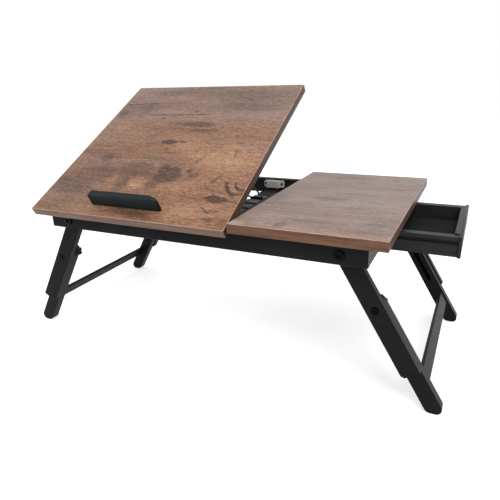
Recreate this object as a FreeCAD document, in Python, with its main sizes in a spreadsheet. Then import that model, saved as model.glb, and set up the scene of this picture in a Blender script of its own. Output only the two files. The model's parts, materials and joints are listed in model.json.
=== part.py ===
import FreeCAD, Part
import math
import os
import re
import Sketcher

# Folding bed desk with a tilting top, a drawer and shortening legs. Millimetres.
# The origin lies on the floor under the middle of the frame: +X runs to the drawer end,
# +Y to the rear and +Z up. The front and rear halves of the frame mirror each other.

SIZES = {
    # tops
    "desk_length": 550, "desk_depth": 350, "top_thickness": 13.5, "side_top_length": 205,
    "tops_gap": 2, "lid_seat_gap": 0.3, "top_arris": 0.8,
    # frame
    "rail_height": 27, "rail_thickness": 12, "rail_setback": 10, "rail_end_inset": 24,
    "rail_arris": 0.8, "cross_height": 17, "cross_thickness": 12, "divider_setback": 4,
    "divider_end_gap": 31,
    # legs
    "leg_splay": 30.8, "outer_leg_width": 25, "inner_leg_width": 21.5,
    "outer_leg_thickness": 12, "inner_leg_thickness": 14, "leg_arris": 0.8,
    "outer_leg_length": 180, "outer_leg_bevel": 4, "foot_length": 245.5,
    "sole_toe_radius": 8, "sole_heel_radius": 9, "pivot_drop": 14.5, "pivot_radius": 3, "leg_stop_gap": 0.3,
    "leg_slide_gap": 0.3, "pivot_head_radius": 7, "pivot_head_height": 2.4,
    "pivot_socket_radius": 2.9, "pivot_socket_depth": 1.6, "pivot_nut_radius": 6,
    "pivot_nut_height": 3.2, "pivot_washer_radius": 8, "pivot_washer_thickness": 1.5,
    "washer_play": 0.1, "bolt_play": 0.08,
    "clamp_height": 84, "clamp_radius": 3, "clamp_head_radius": 4.6, "clamp_head_gap": 1.2,
    "clamp_head_height": 2.5, "slot_play": 0.2, "slot_spare": 9, "extend_travel": 2,
    "retract_travel": 65, "inner_leg_head": 12,
    "clamp_washer_radius": 8, "clamp_washer_thickness": 1.2,
    "knob_radius": 9, "knob_height": 11, "knob_lobe_radius": 3, "knob_hub_radius": 6.5,
    "knob_hub_height": 2, "knob_bore_depth": 8,
    "stretcher_height": 187, "stretcher_width": 20, "stretcher_thickness": 5,
    "stretcher_offset": 3.7, "stretcher_arris": 0.8,
    # drawer
    "drawer_front_width": 162, "drawer_front_height": 27.8, "drawer_front_thickness": 10,
    "drawer_front_drop": 2, "drawer_centre": -5, "drawer_width": 157, "drawer_length": 151,
    "drawer_height": 25.8, "drawer_drop": 3.4, "drawer_side_thickness": 12,
    "drawer_open": 96, "drawer_side_gap": 1, "drawer_front_gap": 1, "drawer_arris": 0.6,
    "drawer_bottom_thickness": 4, "bottom_lift": 3, "bottom_groove_depth": 5,
    "runner_height": 4.5, "runner_drop": 5.5, "runner_width": 5, "runner_gap": 0.3,
    "runner_front_inset": 3,
    # hinges of the tilting top
    "tilt_angle": 28.5, "hinge_setback": 4, "hinge_drop": 3.2, "barrel_radius": 2.5,
    "hinge_pin_radius": 1.2, "hinge_pin_play": 0.05, "leaf_thickness": 1.2,
    "fixed_leaf_width": 7.5, "moving_leaf_width": 13, "leaf_length": 50, "leaf_gap": 0.3,
    "hinge_spread": 200, "knuckle_gap": 0.2, "hinge_bevel": 4.2,
    # rack and prop
    "rack_width": 26, "rack_thickness": 9, "rack_pitch": 31.5, "notch_depth": 2.2,
    "notch_wall": 1.6, "notch_ramp": 8,
    "prop_setback": 151, "prop_drop": 4, "wire_radius": 1.5, "prop_half_width": 13.5,
    "prop_end": 15.5, "prop_bend_radius": 4.5, "prop_foot": 68, "prop_foot_gap": 0.25,
    "clip_width": 8, "clip_side_gap": 1, "clip_wall": 1.6, "clip_play": 0.05,
    "clip_flange": 7, "clip_flange_thickness": 1.6,
    # laptop stop
    "stop_length": 125, "stop_width": 14, "stop_height": 18.5, "stop_setback": 21.5,
    "stop_corner_radius": 9, "stop_back_radius": 4, "stop_arris": 1.2,
    # magnetic catch
    "catch_length": 40.5, "catch_height": 13, "catch_ear_thickness": 3,
    "catch_body_length": 24, "catch_body_depth": 11.5, "catch_drop": 2.6,
    "catch_corner_radius": 3, "magnet_length": 17, "magnet_depth": 7,
    "magnet_height": 5, "magnet_rise": 0.8, "catch_screw_radius": 1.6,
    "strike_length": 30, "strike_width": 13, "strike_thickness": 1.2,
}

RACK_NOTCHES = 5
KNOB_LOBES = 5
HINGE_KNUCKLES = 5
WORD = re.compile(r"[a-z][a-z_]+")

doc = FreeCAD.newDocument("BedDesk")
dims = doc.addObject("Spreadsheet::Sheet", "Dims")
nodes = []


def work_out(given):
    """Sizes that follow from the given ones by angles or by a chain of sums."""
    got = dict(given)
    splay = math.radians(got["leg_splay"])
    tilt = math.radians(got["tilt_angle"])
    got["frame_end"] = got["desk_length"] / 2 - got["rail_end_inset"]
    got["rail_front"] = got["desk_depth"] / 2 - got["rail_setback"]
    got["rail_inside"] = got["rail_front"] - got["rail_thickness"]
    got["top_underside"] = (
        got["foot_length"] * math.cos(splay) + got["pivot_drop"]
    )
    got["frame_bottom"] = got["top_underside"] - got["rail_height"]
    got["desk_height"] = got["top_underside"] + got["top_thickness"]
    # The open leg leans on the lower inside edge of the end rail.
    below_pivot = got["rail_height"] - got["pivot_drop"]
    half = got["outer_leg_width"] / 2
    along = (below_pivot + half * math.sin(splay)) / math.cos(splay)
    reach = along * math.sin(splay) + half * math.cos(splay)
    end_rail_inside = got["frame_end"] - got["rail_thickness"]
    got["pivot_across"] = end_rail_inside - reach - got["leg_stop_gap"] / math.cos(splay)
    got["pivot_up"] = got["top_underside"] - got["pivot_drop"]
    got["outer_leg_face"] = (
        got["rail_inside"] - got["pivot_washer_thickness"] - 2 * got["washer_play"]
    )
    got["inner_leg_face"] = (
        got["outer_leg_face"] - got["outer_leg_thickness"] - got["leg_slide_gap"]
    )
    got["inner_leg_back"] = got["inner_leg_face"] - got["inner_leg_thickness"]
    got["clamp_washer_face"] = got["inner_leg_back"] - got["washer_play"]
    got["knob_face"] = (
        got["clamp_washer_face"] - got["clamp_washer_thickness"] - got["washer_play"]
    )
    got["sole_rise"] = got["inner_leg_width"] / 2 * math.tan(splay)
    # Tilting top, measured from the hinge axis while it lies closed.
    got["lid_length"] = got["desk_length"] - got["side_top_length"] - got["tops_gap"]
    got["lid_thickness"] = got["top_thickness"] - got["lid_seat_gap"]
    got["lid_left"] = -got["desk_length"] / 2
    got["lid_right"] = got["lid_left"] + got["lid_length"]
    got["lid_centre"] = got["lid_left"] + got["lid_length"] / 2
    got["side_top_left"] = got["lid_right"] + got["tops_gap"]
    got["hinge_back"] = -got["rail_front"] + got["hinge_setback"]
    got["hinge_up"] = got["top_underside"] - got["hinge_drop"]
    got["lid_low"] = got["hinge_drop"] + got["lid_seat_gap"]
    got["lid_front"] = -got["desk_depth"] / 2 - got["hinge_back"]
    # Prop: its pivot from the hinge axis, the same pivot on the tilted top, and the foot.
    back = got["lid_front"] + got["prop_setback"]
    up = got["lid_low"] - got["prop_drop"]
    got["prop_pivot_back"] = back
    got["prop_pivot_up"] = up
    got["prop_back"] = got["hinge_back"] + back * math.cos(tilt) - up * math.sin(tilt)
    got["prop_up"] = got["hinge_up"] + back * math.sin(tilt) + up * math.cos(tilt)
    got["rack_top"] = got["frame_bottom"] + got["rack_thickness"]
    run = got["prop_foot"] - got["prop_back"]
    fall = got["prop_up"] - got["rack_top"] - got["wire_radius"] - got["prop_foot_gap"]
    got["prop_length"] = math.hypot(run, fall)
    got["prop_lean"] = math.degrees(math.atan2(run, fall))
    # Drawer
    shut = got["frame_end"] - got["drawer_front_thickness"] - got["drawer_length"]
    got["drawer_back_end"] = shut + got["drawer_open"]
    got["guide_front"] = got["drawer_centre"] - got["drawer_width"] / 2 - got["drawer_side_gap"]
    got["guide_rear"] = got["drawer_centre"] + got["drawer_width"] / 2 + got["drawer_side_gap"]
    got["runner_top"] = got["top_underside"] - got["drawer_drop"] - got["runner_drop"]
    got["divider_left"] = got["side_top_left"] + got["divider_setback"]
    return got


def fill_sheet(values):
    """Every size in a row of its own: its word, its number and the word as alias."""
    for row, (word, value) in enumerate(values.items(), start=1):
        dims.set(f"A{row}", word)
        dims.set(f"B{row}", repr(float(value)))
        dims.setAlias(f"B{row}", word)
    doc.recompute()


def bind(thing, prop, text):
    """Ties a property to sizes in the sheet, by their plain words."""
    thing.setExpression(prop, WORD.sub(lambda found: "Dims." + found.group(), text))


def place(thing, x="0", y="0", z="0", turn=None, about=(0, 1, 0)):
    """Puts a sub-part where sizes from the sheet say, turned about one axis."""
    thing.Placement = FreeCAD.Placement(
        FreeCAD.Vector(), FreeCAD.Rotation(FreeCAD.Vector(*about), 1)
    )
    bind(thing, "Placement.Base.x", x)
    bind(thing, "Placement.Base.y", y)
    bind(thing, "Placement.Base.z", z)
    if turn is None:
        thing.Placement.Rotation = FreeCAD.Rotation()
    else:
        bind(thing, "Placement.Rotation.Angle", turn)


def keep(thing, label):
    """Names a finished sub-part and puts it on the list of parts."""
    thing.Label = label
    nodes.append(thing)
    return thing


# ---------------------------------------------------------------- sketches and bodies


def new_body(name):
    return doc.addObject("PartDesign::Body", name)


def new_sketch(body, plane, offset=None):
    """A sketch on one of the body's own origin planes, moved along its normal."""
    sketch = body.newObject("Sketcher::SketchObject", body.Name + "Sketch")
    base = next(f for f in body.Origin.OriginFeatures if f.Role == plane)
    sketch.AttachmentSupport = [(base, "")]
    sketch.MapMode = "FlatFace"
    if offset is not None:
        bind(sketch, "AttachmentOffset.Base.z", offset)
    return sketch


def pin_point(sketch, geo, end, x, y):
    """Ties one point of the sketch to sizes along both sketch axes."""
    for kind, text in (("DistanceX", x), ("DistanceY", y)):
        index = sketch.addConstraint(Sketcher.Constraint(kind, -1, 1, geo, end, 1.0))
        bind(sketch, f"Constraints[{index}]", text)


def polygon(sketch, corners):
    """A closed outline whose corners are tied to sizes."""
    count = len(corners)
    spots = [
        FreeCAD.Vector(math.cos(2 * math.pi * i / count), math.sin(2 * math.pi * i / count), 0)
        for i in range(count)
    ]
    lines = [
        sketch.addGeometry(Part.LineSegment(spots[i], spots[(i + 1) % count]), False)
        for i in range(count)
    ]
    for i in range(count):
        sketch.addConstraint(
            Sketcher.Constraint("Coincident", lines[i], 2, lines[(i + 1) % count], 1)
        )
    for line, (x, y) in zip(lines, corners):
        pin_point(sketch, line, 1, x, y)


def rectangle(sketch, left, right, low, high):
    polygon(sketch, [(left, low), (right, low), (right, high), (left, high)])


def circle(sketch, x, y, radius):
    geo = sketch.addGeometry(
        Part.Circle(FreeCAD.Vector(1, 1, 0), FreeCAD.Vector(0, 0, 1), 1), False
    )
    pin_point(sketch, geo, 3, x, y)
    index = sketch.addConstraint(Sketcher.Constraint("Radius", geo, 1.0))
    bind(sketch, f"Constraints[{index}]", radius)


def half_round(sketch, middle, radius, first, last):
    """Half a circle round a point on the sketch's Y axis, its ends level with it."""
    arc = sketch.addGeometry(
        Part.ArcOfCircle(
            Part.Circle(FreeCAD.Vector(0, 0, 0), FreeCAD.Vector(0, 0, 1), 10), first, last
        ),
        False,
    )
    pin_point(sketch, arc, 3, "0", middle)
    for end in (1, 2):
        index = sketch.addConstraint(Sketcher.Constraint("DistanceY", -1, 1, arc, end, 1.0))
        bind(sketch, f"Constraints[{index}]", middle)
    index = sketch.addConstraint(Sketcher.Constraint("Radius", arc, 10.0))
    bind(sketch, f"Constraints[{index}]", radius)
    return arc


def upright_slot(sketch, low, high, radius):
    """A slot along the sketch's Y axis, given by the centres of its round ends."""
    top = half_round(sketch, high, radius, 0, math.pi)
    bottom = half_round(sketch, low, radius, math.pi, 2 * math.pi)
    for start, arc_end, other_end in ((-10, 2, 1), (10, 1, 2)):
        side = sketch.addGeometry(
            Part.LineSegment(FreeCAD.Vector(start, 0, 0), FreeCAD.Vector(start, -9, 0)), False
        )
        sketch.addConstraint(Sketcher.Constraint("Coincident", top, arc_end, side, 1))
        sketch.addConstraint(Sketcher.Constraint("Coincident", side, 2, bottom, other_end))


def pad(body, sketch, length, midplane=False, reverse=False):
    feature = body.newObject("PartDesign::Pad", body.Name + "Pad")
    feature.Profile = sketch
    bind(feature, "Length", length)
    feature.Midplane = midplane
    feature.Reversed = reverse
    sketch.Visibility = False
    body.Tip = feature
    doc.recompute()
    return feature


def pocket(body, sketch, length=None, midplane=False, reverse=False):
    """Cuts the sketch out of the body, right through unless a length is given."""
    before = body.Tip.Shape.Volume
    feature = body.newObject("PartDesign::Pocket", body.Name + "Pocket")
    feature.Profile = sketch
    feature.Midplane = midplane
    feature.Reversed = reverse
    if length is None:
        feature.Type = "ThroughAll"
        feature.Midplane = True
    else:
        bind(feature, "Length", length)
    sketch.Visibility = False
    body.Tip = feature
    doc.recompute()
    if not feature.Shape.Volume < before - 1e-6:
        raise RuntimeError(f"{body.Name}: a pocket removes nothing")
    return feature


def edges_where(shape, test):
    """Names of the edges whose ends both pass the test."""
    found = []
    for number, edge in enumerate(shape.Edges, start=1):
        ends = [v.Point for v in edge.Vertexes]
        if len(ends) == 2 and test(ends[0], ends[1]):
            found.append(f"Edge{number}")
    if not found:
        raise RuntimeError("no edge found to round")
    return found


def soften(body, kind, radius, test):
    """Rounds (Fillet) or bevels (Chamfer) the chosen edges of the body's tip."""
    base = body.Tip
    feature = body.newObject(f"PartDesign::{kind}", body.Name + kind)
    feature.Base = (base, edges_where(base.Shape, test))
    bind(feature, "Radius" if kind == "Fillet" else "Size", radius)
    body.Tip = feature
    doc.recompute()
    return feature


def along(axis):
    """A test for edges that run along one axis."""
    others = [a for a in ("x", "y", "z") if a != axis]

    def test(a, b):
        return all(abs(getattr(a, o) - getattr(b, o)) < 1e-4 for o in others)

    return test


def board(name, plane, left, right, low, high, thickness, reverse=False):
    """A plain board: a rectangle on a plane of its own, padded to its thickness."""
    body = new_body(name)
    sketch = new_sketch(body, plane)
    rectangle(sketch, left, right, low, high)
    pad(body, sketch, thickness, reverse=reverse)
    return body


def round_holes(body, plane, spots, radius, depth=None, offset=None, reverse=False):
    """Straight round holes at given spots, right through or to a depth."""
    for x, y in spots:
        sketch = new_sketch(body, plane, offset)
        circle(sketch, x, y, radius)
        pocket(body, sketch, depth, reverse=reverse)


# ---------------------------------------------------------------- small hardware


def cylinder(name, radius, height, x="0", y="0", z="0", turn=None, about=(1, 0, 0)):
    part = doc.addObject("Part::Cylinder", name)
    bind(part, "Radius", radius)
    bind(part, "Height", height)
    place(part, x, y, z, turn, about)
    return part


def box(name, length, width, height, x="0", y="0", z="0"):
    part = doc.addObject("Part::Box", name)
    bind(part, "Length", length)
    bind(part, "Width", width)
    bind(part, "Height", height)
    place(part, x, y, z)
    return part


def hexagon(name, circumradius, height, z="0"):
    part = doc.addObject("Part::Prism", name)
    part.Polygon = 6
    bind(part, "Circumradius", circumradius)
    bind(part, "Height", height)
    place(part, z=z)
    return part


def fuse(name, shapes):
    part = doc.addObject("Part::MultiFuse", name)
    part.Shapes = shapes
    return part


def cut(name, base, tool):
    part = doc.addObject("Part::Cut", name)
    part.Base = base
    part.Tool = tool
    return part


def group(label, items):
    """Identical pieces as one node of separate solids."""
    part = doc.addObject("Part::Compound", label)
    part.Links = items
    return keep(part, label)


# ---------------------------------------------------------------- frame


def long_rail(label, side):
    """Front (side -1) or rear (side 1) rail, with the two holes for the leg pivots."""
    body = board(
        label, "XZ_Plane", "-frame_end", "frame_end", "0", "rail_height",
        "rail_thickness", reverse=side < 0,
    )
    soften(body, "Chamfer", "rail_arris", along("x"))
    drop = "rail_height - pivot_drop"
    spots = [("-pivot_across", drop), ("pivot_across", drop)]
    round_holes(body, "XZ_Plane", spots, "pivot_radius")
    place(body, y=("-" if side < 0 else "") + "rail_front", z="frame_bottom")
    return keep(body, label)


def hinge_places():
    return ["lid_centre - hinge_spread / 2", "lid_centre + hinge_spread / 2"]


def front_rail():
    """The front rail also carries the hinges, in notches behind a bevelled edge."""
    body = long_rail("front_rail", -1)
    bevel = new_sketch(body, "YZ_Plane")
    polygon(bevel, [
        ("-1", "rail_height + 1"), ("-1", "rail_height - hinge_bevel - 1"),
        ("hinge_bevel + 1", "rail_height + 1"),
    ])
    bevel.AttachmentOffset = FreeCAD.Placement()
    bind(bevel, "AttachmentOffset.Base.z", "-frame_end")
    pocket(body, bevel, "frame_end + lid_right + tops_gap / 2", reverse=True)
    for centre in hinge_places():
        notch = new_sketch(body, "XZ_Plane")
        half = "(leaf_length / 2 + leaf_gap)"
        rectangle(
            notch, f"{centre} - {half}", f"{centre} + {half}",
            "rail_height - hinge_drop - barrel_radius", "rail_height + 1",
        )
        pocket(body, notch)


def side_rails():
    """End rails: one across the left end, two short ones beside the drawer."""
    left = board(
        "side_rail_left", "YZ_Plane", "-rail_inside", "rail_inside", "0", "rail_height",
        "rail_thickness",
    )
    soften(left, "Chamfer", "rail_arris", along("y"))
    place(left, x="-frame_end", z="frame_bottom")
    keep(left, "side_rail_left")
    half = "(drawer_front_width / 2 + drawer_front_gap)"
    spans = {
        "side_rail_right_front": ("-rail_inside", "drawer_centre - " + half),
        "side_rail_right_rear": ("drawer_centre + " + half, "rail_inside"),
    }
    for label, (low, high) in spans.items():
        piece = board(
            label, "YZ_Plane", low, high, "0", "rail_height", "rail_thickness", reverse=True,
        )
        soften(piece, "Chamfer", "rail_arris", along("y"))
        place(piece, x="frame_end", z="frame_bottom")
        keep(piece, label)


def drawer_supports():
    """The divider under the fixed top, two guides and the strips the drawer hangs on."""
    half = "(rail_inside - divider_end_gap)"
    divider = board(
        "divider_rail", "YZ_Plane", "-" + half, half, "0", "cross_height",
        "cross_thickness",
    )
    place(divider, x="divider_left", z="top_underside - cross_height")
    keep(divider, "divider_rail")
    start = "divider_left + cross_thickness"
    end = "frame_end - rail_thickness"
    for label, face, outward in (
        ("front", "guide_front", "-"), ("rear", "guide_rear", ""),
    ):
        guide = board(
            "drawer_guide_" + label, "XZ_Plane", start, end, "0", "cross_height",
            "cross_thickness", reverse=outward == "",
        )
        place(guide, y=face, z="top_underside - cross_height")
        keep(guide, "drawer_guide_" + label)
        strip = board(
            "drawer_runner_" + label, "XZ_Plane", start, end + " - runner_front_inset",
            "-runner_height", "0", "runner_width", reverse=outward == "-",
        )
        place(strip, y=face, z="runner_top")
        keep(strip, "drawer_runner_" + label)


def side_top():
    body = board(
        "side_top", "XY_Plane", "side_top_left", "desk_length / 2", "-desk_depth / 2",
        "desk_depth / 2", "top_thickness",
    )
    soften(body, "Chamfer", "top_arris", lambda a, b: min(a.z, b.z) > 1)
    place(body, z="top_underside")
    keep(body, "side_top")


def rack_batten():
    """A batten from rail to rail with a row of ratchet notches for the prop."""
    body = board(
        "rack_batten", "YZ_Plane", "-rail_inside", "rail_inside", "0", "rack_thickness",
        "rack_width",
    )
    for step in range(RACK_NOTCHES):
        at = f"prop_foot + rack_pitch * {1 - step}"
        notch = new_sketch(body, "YZ_Plane")
        polygon(notch, [
            (f"{at} + notch_wall", "rack_thickness + 1"),
            (f"{at} + notch_wall", "rack_thickness"),
            (f"{at} + notch_wall / 4", "rack_thickness - notch_depth"),
            (f"{at} - notch_wall", "rack_thickness - notch_depth"),
            (f"{at} - notch_ramp", "rack_thickness"),
            (f"{at} - notch_ramp", "rack_thickness + 1"),
        ])
        pocket(body, notch, "rack_width", reverse=True)
    place(body, x="-rack_width / 2", z="frame_bottom")
    keep(body, "rack_batten")


def magnetic_catch():
    """Catch housing with two screw ears and a magnet that stands up out of it."""
    body = board(
        "magnetic_catch", "XZ_Plane", "-catch_length / 2", "catch_length / 2", "0",
        "catch_height", "catch_ear_thickness",
    )
    soften(body, "Fillet", "catch_corner_radius", along("y"))
    block = new_sketch(body, "XZ_Plane")
    rectangle(block, "-catch_body_length / 2", "catch_body_length / 2", "0", "catch_height")
    pad(body, block, "catch_body_depth")
    slot = new_sketch(body, "XY_Plane", "catch_height")
    rectangle(
        slot, "-magnet_length / 2", "magnet_length / 2",
        "-(catch_body_depth + catch_ear_thickness + magnet_depth) / 2",
        "-(catch_body_depth + catch_ear_thickness - magnet_depth) / 2",
    )
    pocket(body, slot, "magnet_height")
    reach = "(catch_length + catch_body_length) / 4"
    spots = [("-" + reach, "catch_height / 2"), (reach, "catch_height / 2")]
    round_holes(body, "XZ_Plane", spots, "catch_screw_radius")
    place(body, y="rail_inside", z="top_underside - catch_drop - catch_height")
    keep(body, "magnetic_catch")
    magnet = box(
        "catch_magnet", "magnet_length", "magnet_depth", "magnet_height + magnet_rise",
        "-magnet_length / 2",
        "rail_inside - (catch_body_depth + catch_ear_thickness + magnet_depth) / 2",
        "top_underside - catch_drop - magnet_height",
    )
    keep(magnet, "catch_magnet")


# ---------------------------------------------------------------- hinges and pivots


def hinge_leaf(name, centre, width, start, up):
    """One leaf with every other knuckle: up is -1 for the fixed one, 1 for the other."""
    step = f"leaf_length / {HINGE_KNUCKLES}"
    floor = "-barrel_radius" if up < 0 else "lid_low - leaf_thickness"
    left = f"{centre} - leaf_length / 2"
    plate = box(
        name + "Plate", "leaf_length", f"{width} - barrel_radius - leaf_gap",
        "leaf_thickness", left, "barrel_radius + leaf_gap", floor,
    )
    solids = [plate]
    for number in range(start, HINGE_KNUCKLES, 2):
        begin = f"{left} + {step} * {number} + knuckle_gap / 2"
        length = f"{step} - knuckle_gap"
        solids.append(box(
            f"{name}Tab{number}", length, "barrel_radius + leaf_gap + 0.5",
            "leaf_thickness", begin, "0", floor,
        ))
        solids.append(cylinder(
            f"{name}Knuckle{number}", "barrel_radius", length, begin,
            turn="90", about=(0, 1, 0),
        ))
    bore = cylinder(
        name + "Bore", "hinge_pin_radius + hinge_pin_play", "leaf_length + 2",
        left + " - 1", turn="90", about=(0, 1, 0),
    )
    return cut(name, fuse(name + "Blank", solids), bore)


def hinges():
    fixed = []
    moving = []
    pins = []
    for number, centre in enumerate(hinge_places()):
        fixed.append(hinge_leaf(f"FixedLeaf{number}", centre, "fixed_leaf_width", 0, -1))
        moving.append(hinge_leaf(f"MovingLeaf{number}", centre, "moving_leaf_width", 1, 1))
        pins.append(cylinder(
            f"HingePin{number}", "hinge_pin_radius", "leaf_length",
            f"{centre} - leaf_length / 2", turn="90", about=(0, 1, 0),
        ))
    place(group("hinge_fixed_leaves", fixed), y="hinge_back", z="hinge_up")
    place(group("hinge_pins", pins), y="hinge_back", z="hinge_up")
    on_lid(group("hinge_moving_leaves", moving))


def on_lid(thing):
    """Everything on the tilting top turns with it about the hinge axis."""
    place(thing, y="hinge_back", z="hinge_up", turn="tilt_angle", about=(1, 0, 0))


def pivot_bolts():
    """Socket-head bolts through rail, washer and leg, each with its nut and washer."""
    bolts = []
    washers = []
    nuts = []
    grip = "(rail_front - outer_leg_face + outer_leg_thickness + washer_play)"
    for index, (side, end) in enumerate(((1, -1), (-1, -1), (1, 1), (-1, 1))):
        x = ("" if side > 0 else "-") + "pivot_across"
        y = ("-" if end < 0 else "") + "rail_front"
        toward = "-90" if end < 0 else "90"
        head = cylinder(
            f"PivotHead{index}", "pivot_head_radius", "pivot_head_height",
            z="-pivot_head_height",
        )
        edges = doc.addObject("Part::Fillet", f"PivotDome{index}")
        doc.recompute()
        edges.Base = head
        rim = next(
            n for n, e in enumerate(head.Shape.Edges, 1)
            if len(e.Vertexes) == 1 and abs(e.CenterOfMass.z - head.Shape.BoundBox.ZMin) < 1e-3
        )
        edges.Edges = [(rim, 1.2, 1.2)]
        shank = cylinder(
            f"PivotShank{index}", "pivot_radius", grip + " + pivot_nut_height",
        )
        socket = hexagon(
            f"PivotSocket{index}", "pivot_socket_radius", "pivot_socket_depth",
            z="-pivot_head_height",
        )
        bolt = cut(f"PivotBolt{index}", fuse(f"PivotBlank{index}", [edges, shank]), socket)
        place(bolt, x, y, "pivot_up", toward, (1, 0, 0))
        bolts.append(bolt)
        ring = cut(
            f"PivotWasher{index}",
            cylinder(f"WasherDisc{index}", "pivot_washer_radius", "pivot_washer_thickness"),
            cylinder(f"WasherHole{index}", "pivot_radius", "pivot_washer_thickness"),
        )
        gap = "(rail_inside - washer_play)"
        place(ring, x, ("-" if end < 0 else "") + gap, "pivot_up", toward, (1, 0, 0))
        washers.append(ring)
        nut = cut(
            f"PivotNut{index}",
            hexagon(f"NutBlank{index}", "pivot_nut_radius", "pivot_nut_height"),
            cylinder(f"NutHole{index}", "pivot_radius", "pivot_nut_height"),
        )
        seat = "(outer_leg_face - outer_leg_thickness - washer_play)"
        place(nut, x, ("-" if end < 0 else "") + seat, "pivot_up", toward, (1, 0, 0))
        nuts.append(nut)
    group("leg_pivot_bolts", bolts)
    group("leg_pivot_washers", washers)
    group("leg_pivot_nuts", nuts)


# ---------------------------------------------------------------- legs


def round_head(sketch, top, radius, corners):
    """A leg outline: half-round at the top, straight sides, then the given corners.

    The corners run from the right side round to the left side of the lower end.
    """
    arc = half_round(sketch, top, radius, 0, math.pi)
    spots = [FreeCAD.Vector(10, 0, 0)]
    for number in range(len(corners)):
        share = number / (len(corners) - 1)
        spots.append(FreeCAD.Vector(10 - 20 * share, -50 - number, 0))
    spots.append(FreeCAD.Vector(-10, 0, 0))
    lines = [
        sketch.addGeometry(Part.LineSegment(spots[i], spots[i + 1]), False)
        for i in range(len(spots) - 1)
    ]
    for first, second in zip(lines, lines[1:]):
        sketch.addConstraint(Sketcher.Constraint("Coincident", first, 2, second, 1))
    sketch.addConstraint(Sketcher.Constraint("Coincident", lines[0], 1, arc, 1))
    sketch.addConstraint(Sketcher.Constraint("Coincident", lines[-1], 2, arc, 2))
    for line, (x, y) in zip(lines[1:], corners):
        pin_point(sketch, line, 1, x, y)


def stand(body, side, end, face):
    """Stands a leg board on its pivot, leaning out to the side."""
    x = ("" if side > 0 else "-") + "pivot_across"
    y = ("-" if end < 0 else "") + face
    lean = "-leg_splay" if side > 0 else "leg_splay"
    place(body, x, y, "pivot_up", lean, (0, 1, 0))


def outer_leg(label, side, end):
    """Upper leg board: pivot hole on top, clamp hole with a wider seat for the head."""
    body = new_body(label)
    outline = new_sketch(body, "XZ_Plane")
    half = "outer_leg_width / 2"
    low = "-outer_leg_length"
    bevel = "-outer_leg_length + outer_leg_bevel"
    if side > 0:
        corners = [(half, low), ("-outer_leg_width / 2 + outer_leg_bevel", low), ("-" + half, bevel)]
    else:
        corners = [(half, bevel), ("outer_leg_width / 2 - outer_leg_bevel", low), ("-" + half, low)]
    round_head(outline, "0", half, corners)
    pad(body, outline, "outer_leg_thickness", reverse=end < 0)
    soften(body, "Chamfer", "leg_arris", along("z"))
    round_holes(body, "XZ_Plane", [("0", "0")], "pivot_radius + bolt_play")
    round_holes(body, "XZ_Plane", [("0", "-clamp_height")], "clamp_radius")
    round_holes(
        body, "XZ_Plane", [("0", "-clamp_height")], "clamp_head_radius + clamp_head_gap",
        "clamp_head_height", reverse=end > 0,
    )
    stand(body, side, end, "outer_leg_face")
    return keep(body, label)


def inner_leg(label, side, end):
    """Lower leg board: slotted for the clamp bolt, its sole cut level and rounded."""
    body = new_body(label)
    outline = new_sketch(body, "XZ_Plane")
    half = "inner_leg_width / 2"
    if side > 0:
        corners = [(half, "-foot_length - sole_rise"), ("-" + half, "-foot_length + sole_rise")]
    else:
        corners = [(half, "-foot_length + sole_rise"), ("-" + half, "-foot_length - sole_rise")]
    head = "-clamp_height + inner_leg_head - inner_leg_width / 2"
    round_head(outline, head, half, corners)
    pad(body, outline, "inner_leg_thickness", reverse=end < 0)
    lowest = min(v.Point.z for v in body.Tip.Shape.Vertexes)

    def toe(a, b):
        return along("y")(a, b) and abs(a.z - lowest) < 1e-3

    def heel(a, b):
        return along("y")(a, b) and a.z < lowest + 60 and abs(a.z - lowest) > 1 and a.x * side < 0

    soften(body, "Fillet", "sole_toe_radius", toe)
    soften(body, "Fillet", "sole_heel_radius", heel)
    slot = new_sketch(body, "XZ_Plane")
    upright_slot(
        slot, "-clamp_height - retract_travel - slot_spare", "-clamp_height + extend_travel",
        "clamp_radius + slot_play",
    )
    pocket(body, slot)
    stand(body, side, end, "inner_leg_face")
    return keep(body, label)


def stretcher(label, side):
    """Flat bar between the two lower leg boards, towards the outer edge of the legs."""
    body = new_body(label)
    sketch = new_sketch(body, "XZ_Plane")
    near = "stretcher_offset"
    far = "stretcher_offset + stretcher_thickness"
    low = "-stretcher_height - stretcher_width"
    if side > 0:
        rectangle(sketch, near, far, low, "-stretcher_height")
    else:
        rectangle(sketch, f"-({far})", f"-({near})", low, "-stretcher_height")
    pad(body, sketch, "inner_leg_back * 2", midplane=True)
    soften(body, "Fillet", "stretcher_arris", along("y"))
    stand(body, side, 1, "0 * inner_leg_back")
    return keep(body, label)


def clamp_bolt(name, side, end):
    """Bolt with a flush head, from the outer board to inside the knob."""
    inward = "(outer_leg_face - knob_face + knob_hub_height + knob_bore_depth - 1)"
    head = cylinder(name + "Head", "clamp_head_radius", "clamp_head_height")
    shank = cylinder(name + "Shank", "clamp_radius", inward)
    drive = hexagon(name + "Drive", "clamp_radius * 0.7", "clamp_head_height * 0.6")
    bolt = cut(name, fuse(name + "Blank", [head, shank]), drive)
    place(bolt, z="-clamp_height", turn="-90" if end < 0 else "90", about=(1, 0, 0))
    holder = doc.addObject("Part::Compound", name + "Set")
    holder.Links = [bolt]
    stand(holder, side, end, "outer_leg_face")
    return holder


def clamp_washer(name, side, end):
    ring = cut(
        name,
        cylinder(name + "Disc", "clamp_washer_radius", "clamp_washer_thickness"),
        cylinder(name + "Hole", "clamp_radius", "clamp_washer_thickness"),
    )
    place(ring, z="-clamp_height", turn="-90" if end < 0 else "90", about=(1, 0, 0))
    holder = doc.addObject("Part::Compound", name + "Set")
    holder.Links = [ring]
    stand(holder, side, end, "clamp_washer_face")
    return holder


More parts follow.
